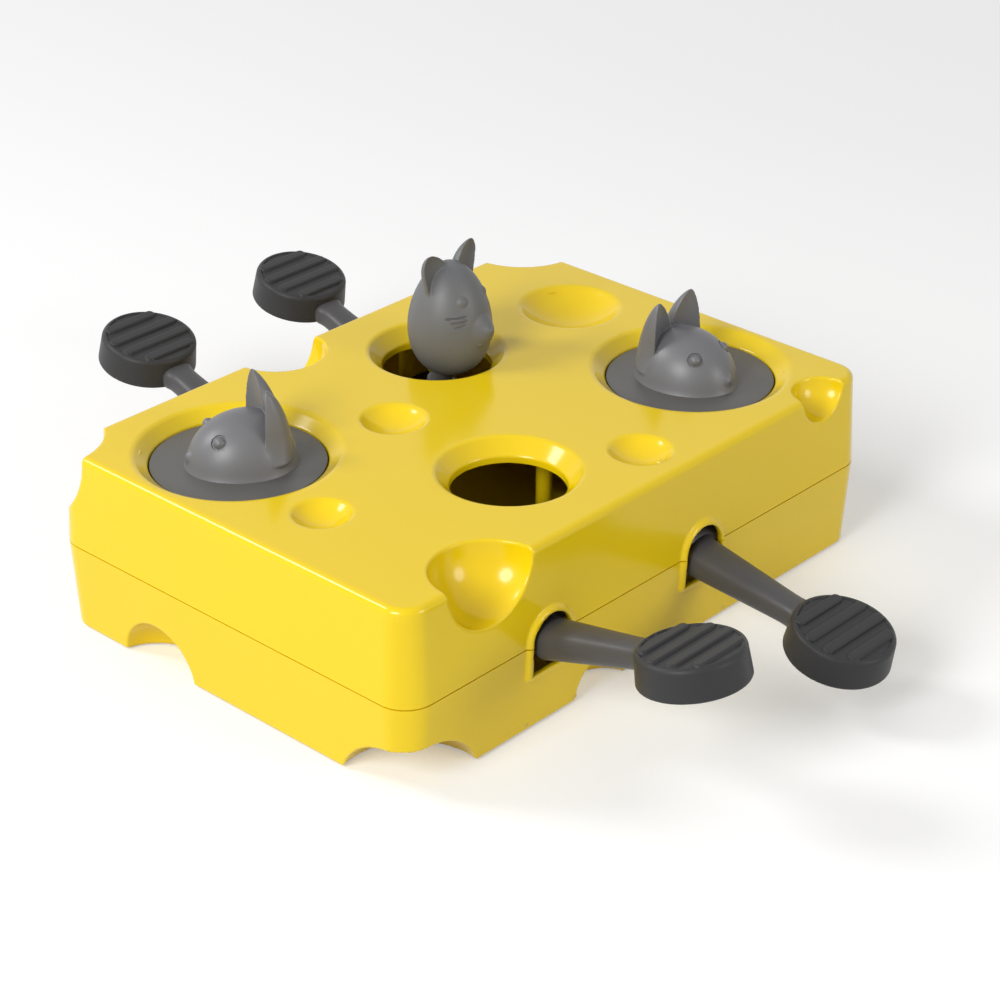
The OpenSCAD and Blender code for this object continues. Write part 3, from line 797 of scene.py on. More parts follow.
@dataclass
class Case:
    """The two moulded shells of the case, and what they hold in place."""

    half_len: float = 150.0
    half_dep: float = 106.0
    height: float = 85.0
    part_z: float = 41.0
    wall: float = 2.6
    corner_r: float = 14.0
    top_draft: float = 2.0
    base_draft: float = 2.4
    edge_r: float = 3.0
    foot_edge_r: float = 1.0
    rim_edge: float = 0.9
    hole_edge: float = 0.5
    seam: float = 0.3
    scoop_edge: float = 1.0
    notch_edge: float = 0.7
    slot_w: float = 23.4
    slot_top: float = 11.5
    slot_sill: float = 14.0
    collar_w: float = 2.5
    collar_proud: float = 1.8
    collar_lip: float = 2.0
    collar_valley: float = 1.0
    slot_edge: float = 0.7
    slot_x: tuple[float, float] = (-66.0, 32.2)
    axle_x: tuple[float, float] = (-62.5, 37.0)
    boss_r: float = 3.8
    boss_foot_r: float = 5.5
    head_r: float = 3.0
    screw_seat_z: float = 26.0
    pad_seat_r: float = 9.1
    pad_seat_deep: float = 1.0
    cheek_x: tuple[tuple[float, float], ...] = ((-17.6, -13.6), (12.0, 16.5))
    cheek_y: tuple[float, float] = (0.4, 16.5)
    cheek_low: float = 1.3
    cheek_gap: float = 0.05
    into_lid: float = 0.3
    web_x: tuple[float, float] = (-13.9, 12.3)
    web_y: float = 15.2
    web_t: float = 1.2
    web_z: float = 50.0
    pitch: float = 1.0
    quick_pitch: float = 2.2
    hidden_faces: int = 24000
    holes: tuple[RoundHole, ...] = (
        RoundHole(-32.0, -51.5, 31.5, 25.0, 7.0), RoundHole(32.0, 51.5, 31.5, 25.0, 7.0),
        RoundHole(97.3, -44.5, 45.0, 38.5, 5.0), RoundHole(-97.3, 44.5, 45.0, 38.5, 5.0))
    scoops: tuple[tuple[float, ...], ...] = (
        (-99.45, -103.0, 85.0, 24.5), (118.05, -104.0, 85.0, 14.3), (-150.0, 119.46, 82.0, 32.2),
        (-18.0, 104.0, 85.0, 22.0), (151.05, 106.95, 98.0, 33.6))
    dents: tuple[tuple[float, ...], ...] = (
        (-111.75, -21.3, 12.6, 6.0), (-31.2, 17.0, 14.6, 6.5), (19.95, -80.1, 13.8, 6.5),
        (109.5, 38.5, 23.7, 10.0))
    notches: tuple[tuple[float, ...], ...] = (
        (-151.95, 44.0, -1.7, 21.93), (151.95, -44.0, -1.7, 21.93), (-31.05, -106.95, 0.0, 16.0),
        (31.05, 106.95, 0.0, 16.0), (-138.0, -97.0, -12.0, 33.5))
    bosses: tuple[tuple[float, float], ...] = (
        (-120.0, -62.0), (-127.95, 80.0), (14.08, -30.9))
    pads: tuple[float, float] = (96.0, 76.3)

    def lean(self, upper: bool) -> float:
        """Shrinking of a shell's corner radius for each millimetre of height.

        Args:
            upper: Whether it is the upper shell.

        Returns:
            The rate, below zero for the lower shell, which widens upwards.
        """
        if upper:
            return self.top_draft / (self.height - self.edge_r - self.part_z)
        return -self.base_draft / self.part_z

    def slots(self) -> list[tuple[int, float]]:
        """Each slot's wall, -1 in front and 1 behind, and its middle along X."""
        return [(sign, -sign * x) for sign in (-1, 1) for x in self.slot_x]

    def boss_places(self) -> list[tuple[float, float]]:
        """Places of the screw bosses, and of the same ones after half a turn."""
        return [(sign * x, sign * y) for sign in (-1, 1) for x, y in self.bosses]

    def pad_places(self) -> list[tuple[float, float]]:
        """Middles of the four seats of the pads."""
        return [(sx * self.pads[0], sy * self.pads[1]) for sx in (-1, 1) for sy in (-1, 1)]

    def bowls(self) -> list[tuple[float, ...]]:
        """The dents as balls: one r wide and d deep is cut by a radius (r^2 + d^2) / (2 d).

        Returns:
            Centre and radius of each ball.
        """
        out = []
        for x, y, r, deep in self.dents:
            ball_r = (r * r + deep * deep) / (2 * deep)
            out.append((x, y, self.height + ball_r - deep, ball_r))
        return out

    def side(self, p: Array, upper: bool) -> Array:
        """Distance to the upright, leaning wall round a shell.

        It is the distance to a rectangle with rounded corners, whose radius shrinks with the
        height over the parting line, divided by the slant of the lean.

        Args:
            p: Points.
            upper: Whether it is the upper shell.

        Returns:
            Signed distances.
        """
        lean = self.lean(upper)
        qx = np.abs(p[:, 0]) - (self.half_len - self.corner_r)
        qy = np.abs(p[:, 1]) - (self.half_dep - self.corner_r)
        d = np.hypot(np.maximum(qx, 0), np.maximum(qy, 0)) + np.minimum(np.maximum(qx, qy), 0)
        return (d - (self.corner_r - lean * (p[:, 2] - self.part_z))) / math.hypot(1, lean)

    def arch(self, u: Array, z: Array) -> Array:
        """Distance to a slot's outline: a half circle over straight sides and a flat sill.

        Args:
            u: Distance from the slot's middle along X.
            z: Height.

        Returns:
            Signed distances in the face.
        """
        r = self.slot_w / 2
        top = self.part_z + self.slot_top - r
        a, b = np.abs(u) - r, self.part_z - self.slot_sill - z
        square = np.hypot(np.maximum(a, 0), np.maximum(b, 0)) + np.minimum(np.maximum(a, b), 0)
        return np.where(z > top, np.hypot(u, z - top) - r, square)

    def add_slots(self, form: Form, opened: bool) -> None:
        """Works the four lever slots into a shell, first their collars and later the openings.

        Args:
            form: The shell.
            opened: Whether to cut the openings instead of raising the collars.
        """
        beside, over, inward, outward = 5.0, 9.0, 9.0, 6.0
        reach = self.slot_w / 2 + self.collar_w + beside
        low_z, high_z = self.part_z - self.slot_sill - over, self.part_z + self.slot_top + over
        for sign, middle in self.slots():

            def rule(v: Array, p: Array, middle: float = middle) -> Array:
                """Cuts the opening or raises the collar."""
                d = self.arch(p[:, 0] - middle, p[:, 2])
                if opened:
                    return within(v, -d, self.slot_edge)
                collar = within(d - self.collar_w, v - self.collar_proud, self.collar_lip)
                return merged(v, collar, self.collar_valley)

            y = sorted((sign * (self.half_dep - inward), sign * (self.half_dep + outward)))
            form.work(rule, (middle - reach, y[0], low_z), (middle + reach, y[1], high_z))

    def cut_balls(self, form: Form, balls: Sequence[Sequence[float]], edge: float) -> None:
        """Cuts balls out of a shell.

        Args:
            form: The shell.
            balls: Centre and radius of each ball.
            edge: Radius of the lips of the cuts.
        """
        for x, y, z, r in balls:
            centre, reach = np.array([x, y, z]), r + 4 * edge + self.wall + 1
            form.work(lambda v, p, c=centre, r=r: within(v, -ball(p, c, r), edge),
                      centre - reach, centre + reach)

    def cut_hole(self, form: Form, hole: RoundHole) -> None:
        """Cuts one mouse hole with its bevel, a cone's distance, out of the upper shell.

        Args:
            form: The shell.
            hole: The hole.
        """
        rise, run = hole.bevel, hole.rim_r - hole.hole_r
        slant = math.hypot(rise, run)

        def rule(v: Array, p: Array) -> Array:
            """Cuts the bevel, then the straight hole."""
            r = np.hypot(p[:, 0] - hole.x, p[:, 1] - hole.y)
            cone = ((p[:, 2] - (self.height - rise)) * run - (r - hole.hole_r) * rise) / slant
            return within(within(v, cone, self.rim_edge), hole.hole_r - r, self.hole_edge)

        beyond, over = 8.0, 5.0
        reach = hole.rim_r + beyond
        form.work(rule, (hole.x - reach, hole.y - reach, self.part_z - over),
                  (hole.x + reach, hole.y + reach, self.height + over))

    def add_well(self, form: Form, x: float, y: float) -> None:
        """Adds a screw boss to the lower shell, its well open at the underside.

        Args:
            form: The shell.
            x: The boss's place along X.
            y: Its place along Y.
        """
        fillet, lip, foot_z, reach, over = 0.8, 0.4, 0.5, 9.0, 2.0

        def rule(v: Array, p: Array) -> Array:
            """Joins the boss to the shell, then cuts its well."""
            r, z = np.hypot(p[:, 0] - x, p[:, 1] - y), p[:, 2]
            foot = np.maximum(r - self.boss_foot_r, z - self.screw_seat_z - self.wall)
            post = merged(foot, np.maximum(r - self.boss_r, z - self.part_z), fillet)
            solid = merged(v, np.maximum(post, foot_z - z), fillet)
            return within(solid, -np.maximum(r - self.head_r, z - self.screw_seat_z), lip)

        form.work(rule, (x - reach, y - reach, -over), (x + reach, y + reach, self.part_z + over))

    def add_seat(self, form: Form, x: float, y: float) -> None:
        """Sinks the seat of a pad into the underside of the lower shell.

        Args:
            form: The shell.
            x: The seat's place along X.
            y: Its place along Y.
        """
        lip, reach, below, above = 0.2, 12.0, 2.0, 4.0

        def rule(v: Array, p: Array) -> Array:
            """Cuts the seat."""
            r = np.hypot(p[:, 0] - x, p[:, 1] - y)
            return within(v, -np.maximum(r - self.pad_seat_r, p[:, 2] - self.pad_seat_deep), lip)

        form.work(rule, (x - reach, y - reach, -below), (x + reach, y + reach, above))

    def shell_solid(self, upper: bool) -> Solid:
        """One shell as a distance field.

        The outside is worked first; the wall is a layer under it, open below the collars of the
        holes; then come the wells and seats of the lower shell, and the slots' openings.

        Args:
            upper: Whether it is the upper shell.

        Returns:
            The distance field.
        """
        def body(p: Array) -> Array:
            """Side and top, or side and underside."""
            side = self.side(p, upper)
            if upper:
                return within(side, p[:, 2] - self.height, self.edge_r)
            return within(side, -p[:, 2], self.foot_edge_r)

        holes = self.holes if upper else ()
        flange, rim_t = 1.5, 3.0
        outer = Form(body)
        if upper:
            self.cut_balls(outer, (*self.scoops, *self.bowls()), self.scoop_edge)
        else:
            self.cut_balls(outer, self.notches, self.notch_edge)
        self.add_slots(outer, False)
        for hole in holes:
            self.cut_hole(outer, hole)

        def walled(p: Array) -> Array:
            """The layer under the outside, with room under the holes' collars."""
            v = outer(p)
            v = np.maximum(v, -v - self.wall)
            for hole in holes:
                r = np.hypot(p[:, 0] - hole.x, p[:, 1] - hole.y)
                beyond = r - hole.hole_r - self.wall - flange
                v = np.maximum(v, -np.maximum(beyond, p[:, 2] - (self.height - hole.bevel - rim_t)))
            return v

        opened = Form(walled)
        if not upper:
            for x, y in self.boss_places():
                self.add_well(opened, x, y)
            for x, y in self.pad_places():
                self.add_seat(opened, x, y)
        self.add_slots(opened, True)

        def shell(p: Array) -> Array:
            """The half above or below the seam."""
            z = p[:, 2]
            return np.maximum(opened(p), self.part_z + self.seam - z if upper
                              else z - (self.part_z - self.seam))

        return shell

    def build(self) -> None:
        """Makes the shells, the keying tongue, the bosses and the axle cheeks."""
        pitch = self.pitch * 1.0
        out_x, out_y = self.half_len + 1.7, self.half_dep + 3.4
        for kind, z0, z1 in (("upper", self.part_z - 1.4, self.height + 1.7),
                             ("lower", -1.3, self.part_z + 1.6)):
            upper = kind == "upper"
            solid = self.shell_solid(upper)
            skin = Moulder(pitch).skin(solid, (-out_x, -out_y, z0), (out_x, out_y, z1))
            free = self.hidden_points(skin.points, upper)
            free |= self.flat_points(solid, skin.points, upper)
            shown = 2 * int((~free[skin.faces[0]].all(1)).sum())
            name = f"case_{kind}_shell"
            mesh = thinned(make_mesh(name, skin), free, shown + self.hidden_faces)
            true_normals(mesh, solid)
            hang(name, mesh, YELLOW, Body.CASE, Slot.CASE, (f"{kind}_case",))
        self.add_tongue()
        self.add_bosses()
        self.add_cheeks()

    def hidden_points(self, p: Array, upper: bool) -> Array:
        """Which points lie inside the case or on its flat underside, away from any edge.

        Args:
            p: Points of the skin.
            upper: Whether it is the upper shell.

        Returns:
            True for each such point.
        """
        margin, lid_t, rim, foot, seat_r, seat_z, slot_half, slot_deep = (
            1.8, 1.9, 1.0, 2.0, 11.0, 2.0, 15.0, 8.0)
        inner = self.side(p, upper) < -margin
        if upper:
            inner &= p[:, 2] < self.height - lid_t
            for hole in self.holes:
                inner &= np.hypot(p[:, 0] - hole.x, p[:, 1] - hole.y) >= hole.rim_r + rim
        else:
            for x, y in self.boss_places():
                inner &= np.hypot(p[:, 0] - x, p[:, 1] - y) >= self.boss_foot_r + foot
            for x, y in self.pad_places():
                inner &= (np.hypot(p[:, 0] - x, p[:, 1] - y) >= seat_r) | (p[:, 2] >= seat_z)
        for x, y, z, r in (*self.scoops, *self.bowls()) if upper else self.notches:
            inner &= np.linalg.norm(p - (x, y, z), axis=1) >= r + margin
        for sign, x in self.slots():
            beside, deep = np.abs(p[:, 0] - x), self.half_dep - sign * p[:, 1]
            inner &= ~((beside < slot_half) & (deep < slot_deep))
        return inner

    def flat_points(self, solid: Solid, p: Array, upper: bool) -> Array:
        """Which points lie on the flat top or on the flat sides, where faces may merge.

        Args:
            solid: The shell's distance field.
            p: Points of the skin.
            upper: Whether it is the upper shell.

        Returns:
            True where the normal is that of the flat face.
        """
        level, square_on, upright, wall_t = 0.99999, 2e-5, 2e-3, 4.0
        lean = self.lean(upper)
        slant = math.hypot(1, lean)
        n = gradient(solid, p)
        flat = n[:, 2] > level if upper else np.zeros(len(p), bool)
        out = np.abs(p[:, :2]) > np.array([self.half_len, self.half_dep]) - wall_t
        for axis in (0, 1):
            near = np.abs(np.abs(n[:, axis]) - 1 / slant) < square_on
            flat |= near & (np.abs(n[:, 2] - lean / slant) < upright) & out[:, axis]
        return flat

    def add_tongue(self) -> None:
        """Adds the lip behind the seam that keys the shells, open at the slots."""
        gap, thick, lip, bevel, turns = 0.2, 1.2, 2.0, 0.3, 96
        r1 = self.corner_r - self.wall - gap
        cx, cy = self.half_len - self.corner_r, self.half_dep - self.corner_r
        a = np.linspace(0, 2 * math.pi, turns, endpoint=False)
        corner = np.stack([np.sign(np.cos(a)) * cx, np.sign(np.sin(a)) * cy], -1)
        rings = []
        for r, z in ((r1 - thick, -lip), (r1, -lip), (r1, lip - bevel), (r1 - bevel, lip),
                     (r1 - thick, lip), (r1 - thick, -lip)):
            flat = corner + r * np.stack([np.cos(a), np.sin(a)], -1)
            rings.append(np.concatenate([flat, np.full((turns, 1), self.part_z + z)], 1))
        rings = np.array(rings)
        ids = np.arange(rings.shape[0] * turns).reshape(-1, turns)
        ids[-1] = ids[0]
        nxt = np.roll(ids, -1, axis=1)
        faces = np.stack([ids[:-1], nxt[:-1], nxt[1:], ids[1:]], -1)
        middle = (rings[:-1] + np.roll(rings, -1, axis=1)[:-1]) / 2
        shut = np.zeros(faces.shape[:2], bool)
        for sign, x in self.slots():
            shut |= (np.abs(middle[..., 0] - x) < 18) & (sign * middle[..., 1] > cy)
        tongue = Skin(rings[:-1].reshape(-1, 3), [faces[~shut].reshape(-1, 4)])
        add_piece("case_tongue", tongue, YELLOW, Body.CASE, Slot.CASE)

    def add_bosses(self) -> None:
        """Adds the lid's screw bosses, each flared where it meets the lid."""
        low, top, r = self.part_z + 0.1, self.height - self.wall, self.boss_r
        outline = soft_corners([(0, low), (r, low), (r, top - 1), (r + 1.2, top + 0.6),
                                (0, top + 0.6)], (0.3, 0.8, 0), 4)
        posts = [lathe(outline, 40).moved(shifted(x, y, 0)) for x, y in self.boss_places()]
        add_piece("case_lid_bosses", Skin.union(posts), YELLOW, Body.CASE, Slot.CASE)

    def plate_top(self, low: Array, high: Array) -> float:
        """Height of a plate under the lid, lowered where a scoop comes down to it.

        Under a scoop of radius r round (x, y, z), the wall's underside at a distance d from that
        centre, seen from above, is at z - sqrt((r + wall)^2 - d^2).

        Args:
            low: Lowest corner of the plate, seen from above.
            high: Highest corner of the plate.

        Returns:
            The plate's height.
        """
        top = self.height - self.wall + self.into_lid
        for x, y, z, r in self.scoops:
            away = math.hypot(max(low[0] - x, x - high[0], 0), max(low[1] - y, y - high[1], 0))
            if away < r + self.wall:
                top = min(top, z - math.sqrt((r + self.wall) ** 2 - away ** 2) + self.into_lid)
        return top

    def add_cheeks(self) -> None:
        """Adds the cheeks that hold the axles, parted at the seam, and webs over the levers."""
        seams = ((self.cheek_low, self.part_z - self.cheek_gap),
                 (self.part_z + self.cheek_gap, None))
        across = (self.wall - self.cheek_y[0] - self.half_dep, self.cheek_y[1] - self.half_dep)
        web = (self.web_y - self.half_dep, self.web_y + self.web_t - self.half_dep)
        plates = []
        for flip in (turned(2, 0), turned(2, 180)):
            for x in self.axle_x:
                for (left, right), (y0, y1), spans in (
                        (self.cheek_x[0], across, seams), (self.cheek_x[1], across, seams),
                        (self.web_x, web, ((self.web_z, None),))):
                    x0, x1 = x + left, x + right
                    seen = flip.apply(np.array([[x0, y0, 0], [x1, y1, 0]]))
                    top = self.plate_top(seen.min(0), seen.max(0))
                    for z0, z1 in spans:
                        plates.append(block((x0, y0, z0), (x1, y1, z1 or top)).moved(flip))
        add_piece("case_axle_cheeks", Skin.union(plates), YELLOW, Body.CASE, Slot.CASE)


# ---- levers -------------------------------------------------------------------------------


@dataclass
class Lever:
    """One see-saw lever: its arm, hub, inner bar and ribbed foot pedal."""

    body: Body
    axle_x: float
    tilt: float
    turn: float
    holds_disc: bool
    nudge: tuple[float, float, float] = (0.0, 0.6, -1.5)
    axle_y: float = 97.5
    axle_z: float = 41.0
    axle_d: float = 4.0
    axle_half: float = 16.3
    hub_d: float = 13.0
    hub_len: float = 16.4
    hub_play: float = 0.06
    reach: float = 89.0
    aside: float = 8.4
    rise: float = 7.0
    pedal_r: float = 23.2
    pedal_h: float = 14.6
    pedal_lean: float = 0.07
    rim_edge: float = 2.4
    foot_edge: float = 1.4
    dish: float = 0.7
    dish_rim: float = 3.4
    rib_h: float = 0.7
    rib_w: float = 5.0
    rib_slant: float = 0.35
    rib_count: int = 4
    root_half_w: float = 10.3
    root_half_h: float = 8.5
    tip_half_w: float = 6.5
    tip_half_h: float = 5.4
    wall_y: float = 8.5
    bar_w: float = 14.0
    up_tilt: float = 11.3
    down_tilt: float = 12.4
    arm_drop: float = 3.4
    disc_place: tuple[float, float] = (-97.3, 44.5)
    egg_aside: float = -3.5
    plate_y: float = 150.51
    plate_z: float = -3.07

    def place(self) -> Place:
        """The move from the lever's own frame to the toy's."""
        return (turned(0, -self.tilt).then(shifted(self.axle_x, -self.axle_y, self.axle_z))
                .then(turned(2, self.turn)))

    def upright(self, tilt: float) -> Place:
        """The move from a frame upright at that tilt to the toy's."""
        return turned(0, tilt).then(self.place())

    def node(self, kind: str) -> str:
        """Name of this lever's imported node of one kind."""
        return f"{kind}_{self.body.value}"

    def pedal_solid(self) -> Solid:
        """The pedal, centred on its own axis with its underside at height zero.

        A disc with a slightly leaning side and a rounded rim, its top dished, with ribs of round
        ends, each the distance to a line segment.

        Returns:
            The distance field.
        """
        r0, h, lean, slant = self.pedal_r, self.pedal_h, self.pedal_lean, self.rib_slant
        pitch = 2 * r0 / (self.rib_count + 1)

        def solid(p: Array) -> Array:
            """The disc, its dish and the ribs, one after the other."""
            r = np.hypot(p[:, 0], p[:, 1])
            side = (r - (r0 - lean * p[:, 2])) / math.hypot(1, lean)
            v = within(side, p[:, 2] - h, self.rim_edge)
            v = within(v, -p[:, 2], self.foot_edge)
            v = within(v, -np.maximum(r - r0 + self.dish_rim, h - self.dish - p[:, 2]), 0.7)
            for i in range(self.rib_count):
                off = (i - (self.rib_count - 1) / 2) * pitch
                half = math.sqrt((r0 - 3.0) ** 2 - off * off) - self.rib_w / 2
                along = np.maximum(np.abs(p[:, 0]) - half, 0)
                line = np.hypot(along, p[:, 1] - off) - self.rib_w / 2
                slope = (line + slant * (p[:, 2] - h)) / math.hypot(1, slant)
                rib = within(slope, p[:, 2] - h - self.rib_h, 0.6)
                v = merged(v, np.maximum(rib, h - 3 - p[:, 2]), 0.15)
            return v

        return solid

    def slot_shift(self) -> float:
        """How far the slot's middle lies beside the lever's axle, towards -X."""
        return 3.5 if self.holds_disc else 4.8

    def arm(self) -> Skin:
        """The arm, from inside the hub to inside the pedal.

        Its section shrinks evenly from root to tip, and less so inside the case; a small flare
        widens it where it enters the pedal. Between hub and wall it swings over to the slot's
        middle by 3 s^2 - 2 s^3 of the shift, where s goes from 0 to 1.

        Returns:
            The arm in the lever's own frame.
        """
        start, into_pedal, stations = 4.0, 8.0, 60
        y0, y1 = start, -(self.reach - self.pedal_r + into_pedal)
        tip_y = self.reach - self.pedal_r + self.tip_half_h / 2
        y = y0 + (y1 - y0) * np.linspace(0, 1, stations)
        share = np.clip(-y / tip_y, 0, 1.12)
        shift = self.slot_shift()
        beyond = np.maximum(-y - self.wall_y, 0) / (self.reach - self.wall_y)
        step = np.clip((-y - 2) / 7, 0, 1)
        x = -step * step * (3 - 2 * step) * (shift + (self.aside - self.nudge[0] - shift) * beyond)
        tip_z = self.rise - self.pedal_h / 2 + self.tip_half_h - 0.4 + self.nudge[2]
        z = (tip_z + self.arm_drop) * share - self.arm_drop
        flare = 1.6 * np.exp(-np.maximum(self.reach - self.pedal_r + y, 0) / 2.6)
        half_w = self.root_half_w + (self.tip_half_w - self.root_half_w) * share + flare
        half_h = self.root_half_h + (self.tip_half_h - self.root_half_h) * share + 0.4 * flare
        narrow = 1 - np.clip((self.wall_y - 1.5 + y) / 8, 0, 1)
        half_w, half_h = half_w * (0.85 + 0.15 * narrow), half_h * (0.76 + 0.24 * narrow)
        return loft(np.stack([x, y, z], -1), half_w, half_h, 2.5)

    def hub(self) -> Skin:
        """The hub round the axle, turned along X, with a bore.

        Returns:
            The hub in the lever's own frame.
        """
        r, b, half = self.hub_d / 2, self.axle_d / 2 + self.hub_play, self.hub_len / 2
        outline = soft_corners([(b, -half), (r, -half), (r, half), (b, half)], (0.6, 0.6), 4)
        return lathe(outline, 56).moved(turned(1, 90))

    def bar(self) -> Skin:
        """The inner bar, an even taper from the hub to the foot at its end, and that foot.

        Returns:
            Both in the lever's own frame.
        """
        if self.holds_disc:
            x, y = self.disc_place[0] - self.axle_x, self.axle_y + self.disc_place[1]
            end = turned(0, self.up_tilt).apply(np.array([[x, y, 6.5 - self.axle_z]]))[0]
            tip_half_w, tip_half_h = 9.0, 2.6
            foot = soft_corners([(0, 4), (9, 4), (9, 9), (0, 9)], (0.5, 0.5), 3)
            seat = shifted(x, y, -self.axle_z).then(turned(0, self.up_tilt))
        else:
            end = np.array([self.egg_aside, self.plate_y, self.plate_z - 2])
            tip_half_w, tip_half_h = 6.5, 2.0
            foot = soft_corners([(0, -4), (6.5, -4), (6.5, 0), (0, 0)], (0.4, 0.4), 3)
            seat = shifted(self.egg_aside, self.plate_y, self.plate_z)
        t, start = np.linspace(0, 1, 24), 3.0
        path = np.stack([end[0] * t, start + (end[1] - start) * t, end[2] * t], -1)
        half_w = self.bar_w / 2 + (tip_half_w - self.bar_w / 2) * t
        half_h = self.hub_d * 0.45 + (tip_half_h - self.hub_d * 0.45) * t
        return Skin.union([loft(path, half_w, half_h, 5.0, 40), lathe(foot, 48).moved(seat)])

    def build(self, pedal: Skin, solid: Solid) -> None:
        """Makes the lever's pieces and its axle.

        Args:
            pedal: The skin that all four pedals share.
            solid: The pedal's distance field, for its normals.
        """
        place = self.place()
        dx, dy, dz = self.nudge
        seat = shifted(dx - self.aside, dy - self.reach, dz + self.rise - self.pedal_h / 2)
        seat = seat.then(place)
        add_piece(self.node("foot_pedal"), pedal.moved(seat), PEDAL, self.body, Slot.LEVER,
                  (self.node("pedal"),), carried(solid, seat))
        add_piece(self.node("lever_arm"), self.arm().moved(place), DARK, self.body, Slot.LEVER,
                  (self.node("lever"),), edge_angle=60)
        for kind, skin in (("lever_hub", self.hub()), ("lever_bar", self.bar())):
            add_piece(self.node(kind), skin.moved(place), DARK, self.body, Slot.LEVER)
        r, half = self.axle_d / 2, self.axle_half
        pin = soft_corners([(0, -half), (r, -half), (r, half), (0, half)], (0.3, 0.3), 3)
        where = turned(1, 90).then(shifted(self.axle_x, -self.axle_y, self.axle_z))
        where = where.then(turned(2, self.turn))
        add_piece(self.node("axle_pin"), lathe(pin, 40).moved(where), STEEL, Body.CASE, Slot.STEEL,
                  (self.node("axle"),))


# ---- mice ---------------------------------------------------------------------------------


@dataclass(frozen=True)
class Ear:
    """An ear like half a horn, cut open in front, for a head that looks along X.

    At height z over its foot, h = (z - low) / (tip - low), the ear's centre lies at
    (x + lean_x h, side (y + lean_y h + curl h^6) + sway h). Its half width across is
    w (1 - h^a)^r, plus skirt (1 - 2 h)^2 in its lower half, its depth behind the open front is
    d (1 - h^b)^r, and between them runs the curve |u / width|^n + |v / depth|^n = 1. The front
    is hollowed by cup (1 - (u / width)^2).
    """

    side: float
    x: float
    y: float
    lean_x: float
    lean_y: float
    curl: float
    low: float
    tip: float
    half_w: float
    depth: float
    wide_power: float
    deep_power: float
    cup: float
    foot: float
    turn: float = 0.24
    sway: float = 0.0
    skirt: float = 0.0
    roundness: float = 0.7
    power: float = 2.6

    def narrowed(self, h: Array, full: float, power: float) -> tuple[Array, Array]:
        """A measure full (1 - h^power)^roundness, and its change with h.

        Args:
            h: Share of the height.
            full: The measure at the foot.
            power: How late it narrows.

        Returns:
            The measure and its slope.
        """
        left = 1 - h ** power
        steep = -self.roundness * power * h ** (power - 1) / left
        size = full * left ** self.roundness
        return size, size * steep

    def distance(self, p: Array) -> Array:
        """Signed distances to the ear: the curve's value less one, over its slope.

        Args:
            p: Points of shape (n, 3).

        Returns:
            One distance for each point.
        """
        z = np.clip(p[:, 2], self.low, self.tip - 0.35)
        h = (z - self.low) / (self.tip - self.low)
        rise = self.tip - self.low
        wide, wide_slope = self.narrowed(h, self.half_w, self.wide_power)
        deep, deep_slope = self.narrowed(h, self.depth, self.deep_power)
        wide_slope, deep_slope = wide_slope / rise, deep_slope / rise
        low = np.maximum(1 - h / 0.5, 0)
        wide, wide_slope = wide + self.skirt * low ** 2, wide_slope - 4 * self.skirt * low / rise
        dx = p[:, 0] - self.x - self.lean_x * h
        dy = (p[:, 1] - self.side * (self.y + self.lean_y * h + self.curl * h ** 6)
              - self.sway * h)
        ahead = math.sqrt(1 - self.turn ** 2)
        u = dx * self.turn + dy * self.side * ahead
        v = dx * ahead - dy * self.side * self.turn
        a, b, n = np.abs(u) / wide, np.abs(v) / deep, self.power
        value = (a ** n + b ** n) ** (1 / n) + 1e-6
        along_u = (a / value) ** (n - 1) / wide
        along_v = (b / value) ** (n - 1) / deep
        along_z = along_u * a * wide_slope + along_v * b * deep_slope
        d = (value - 1) / np.sqrt(along_u ** 2 + along_v ** 2 + along_z ** 2 + 1e-9)
        over = p[:, 2] - z
        d = np.where(over > 0, np.hypot(np.maximum(d, 0), over), d)
        front = v + self.cup * wide / self.half_w * np.maximum(1 - a * a, 0)
        return within(within(d, front, 0.45), self.foot - p[:, 2], 2.2)


def add_eye(v: Array, p: Array, eye: Array, bead: float, ring: float) -> Array:
    """Works an eye into a face: a bead in a ring-shaped groove.

    Args:
        v: Distances to the face.
        p: Points.
        eye: The bead's middle.
        bead: Radius of the bead.
        ring: Radius of the groove's middle line.

    Returns:
        Distances with the eye.
    """
    d = np.linalg.norm(p - eye, axis=1)
    v = within(v, -np.maximum(np.abs(d - ring) - 0.4, np.abs(v) - 0.6), 0.25)
    return merged(v, d - bead, 0.15)


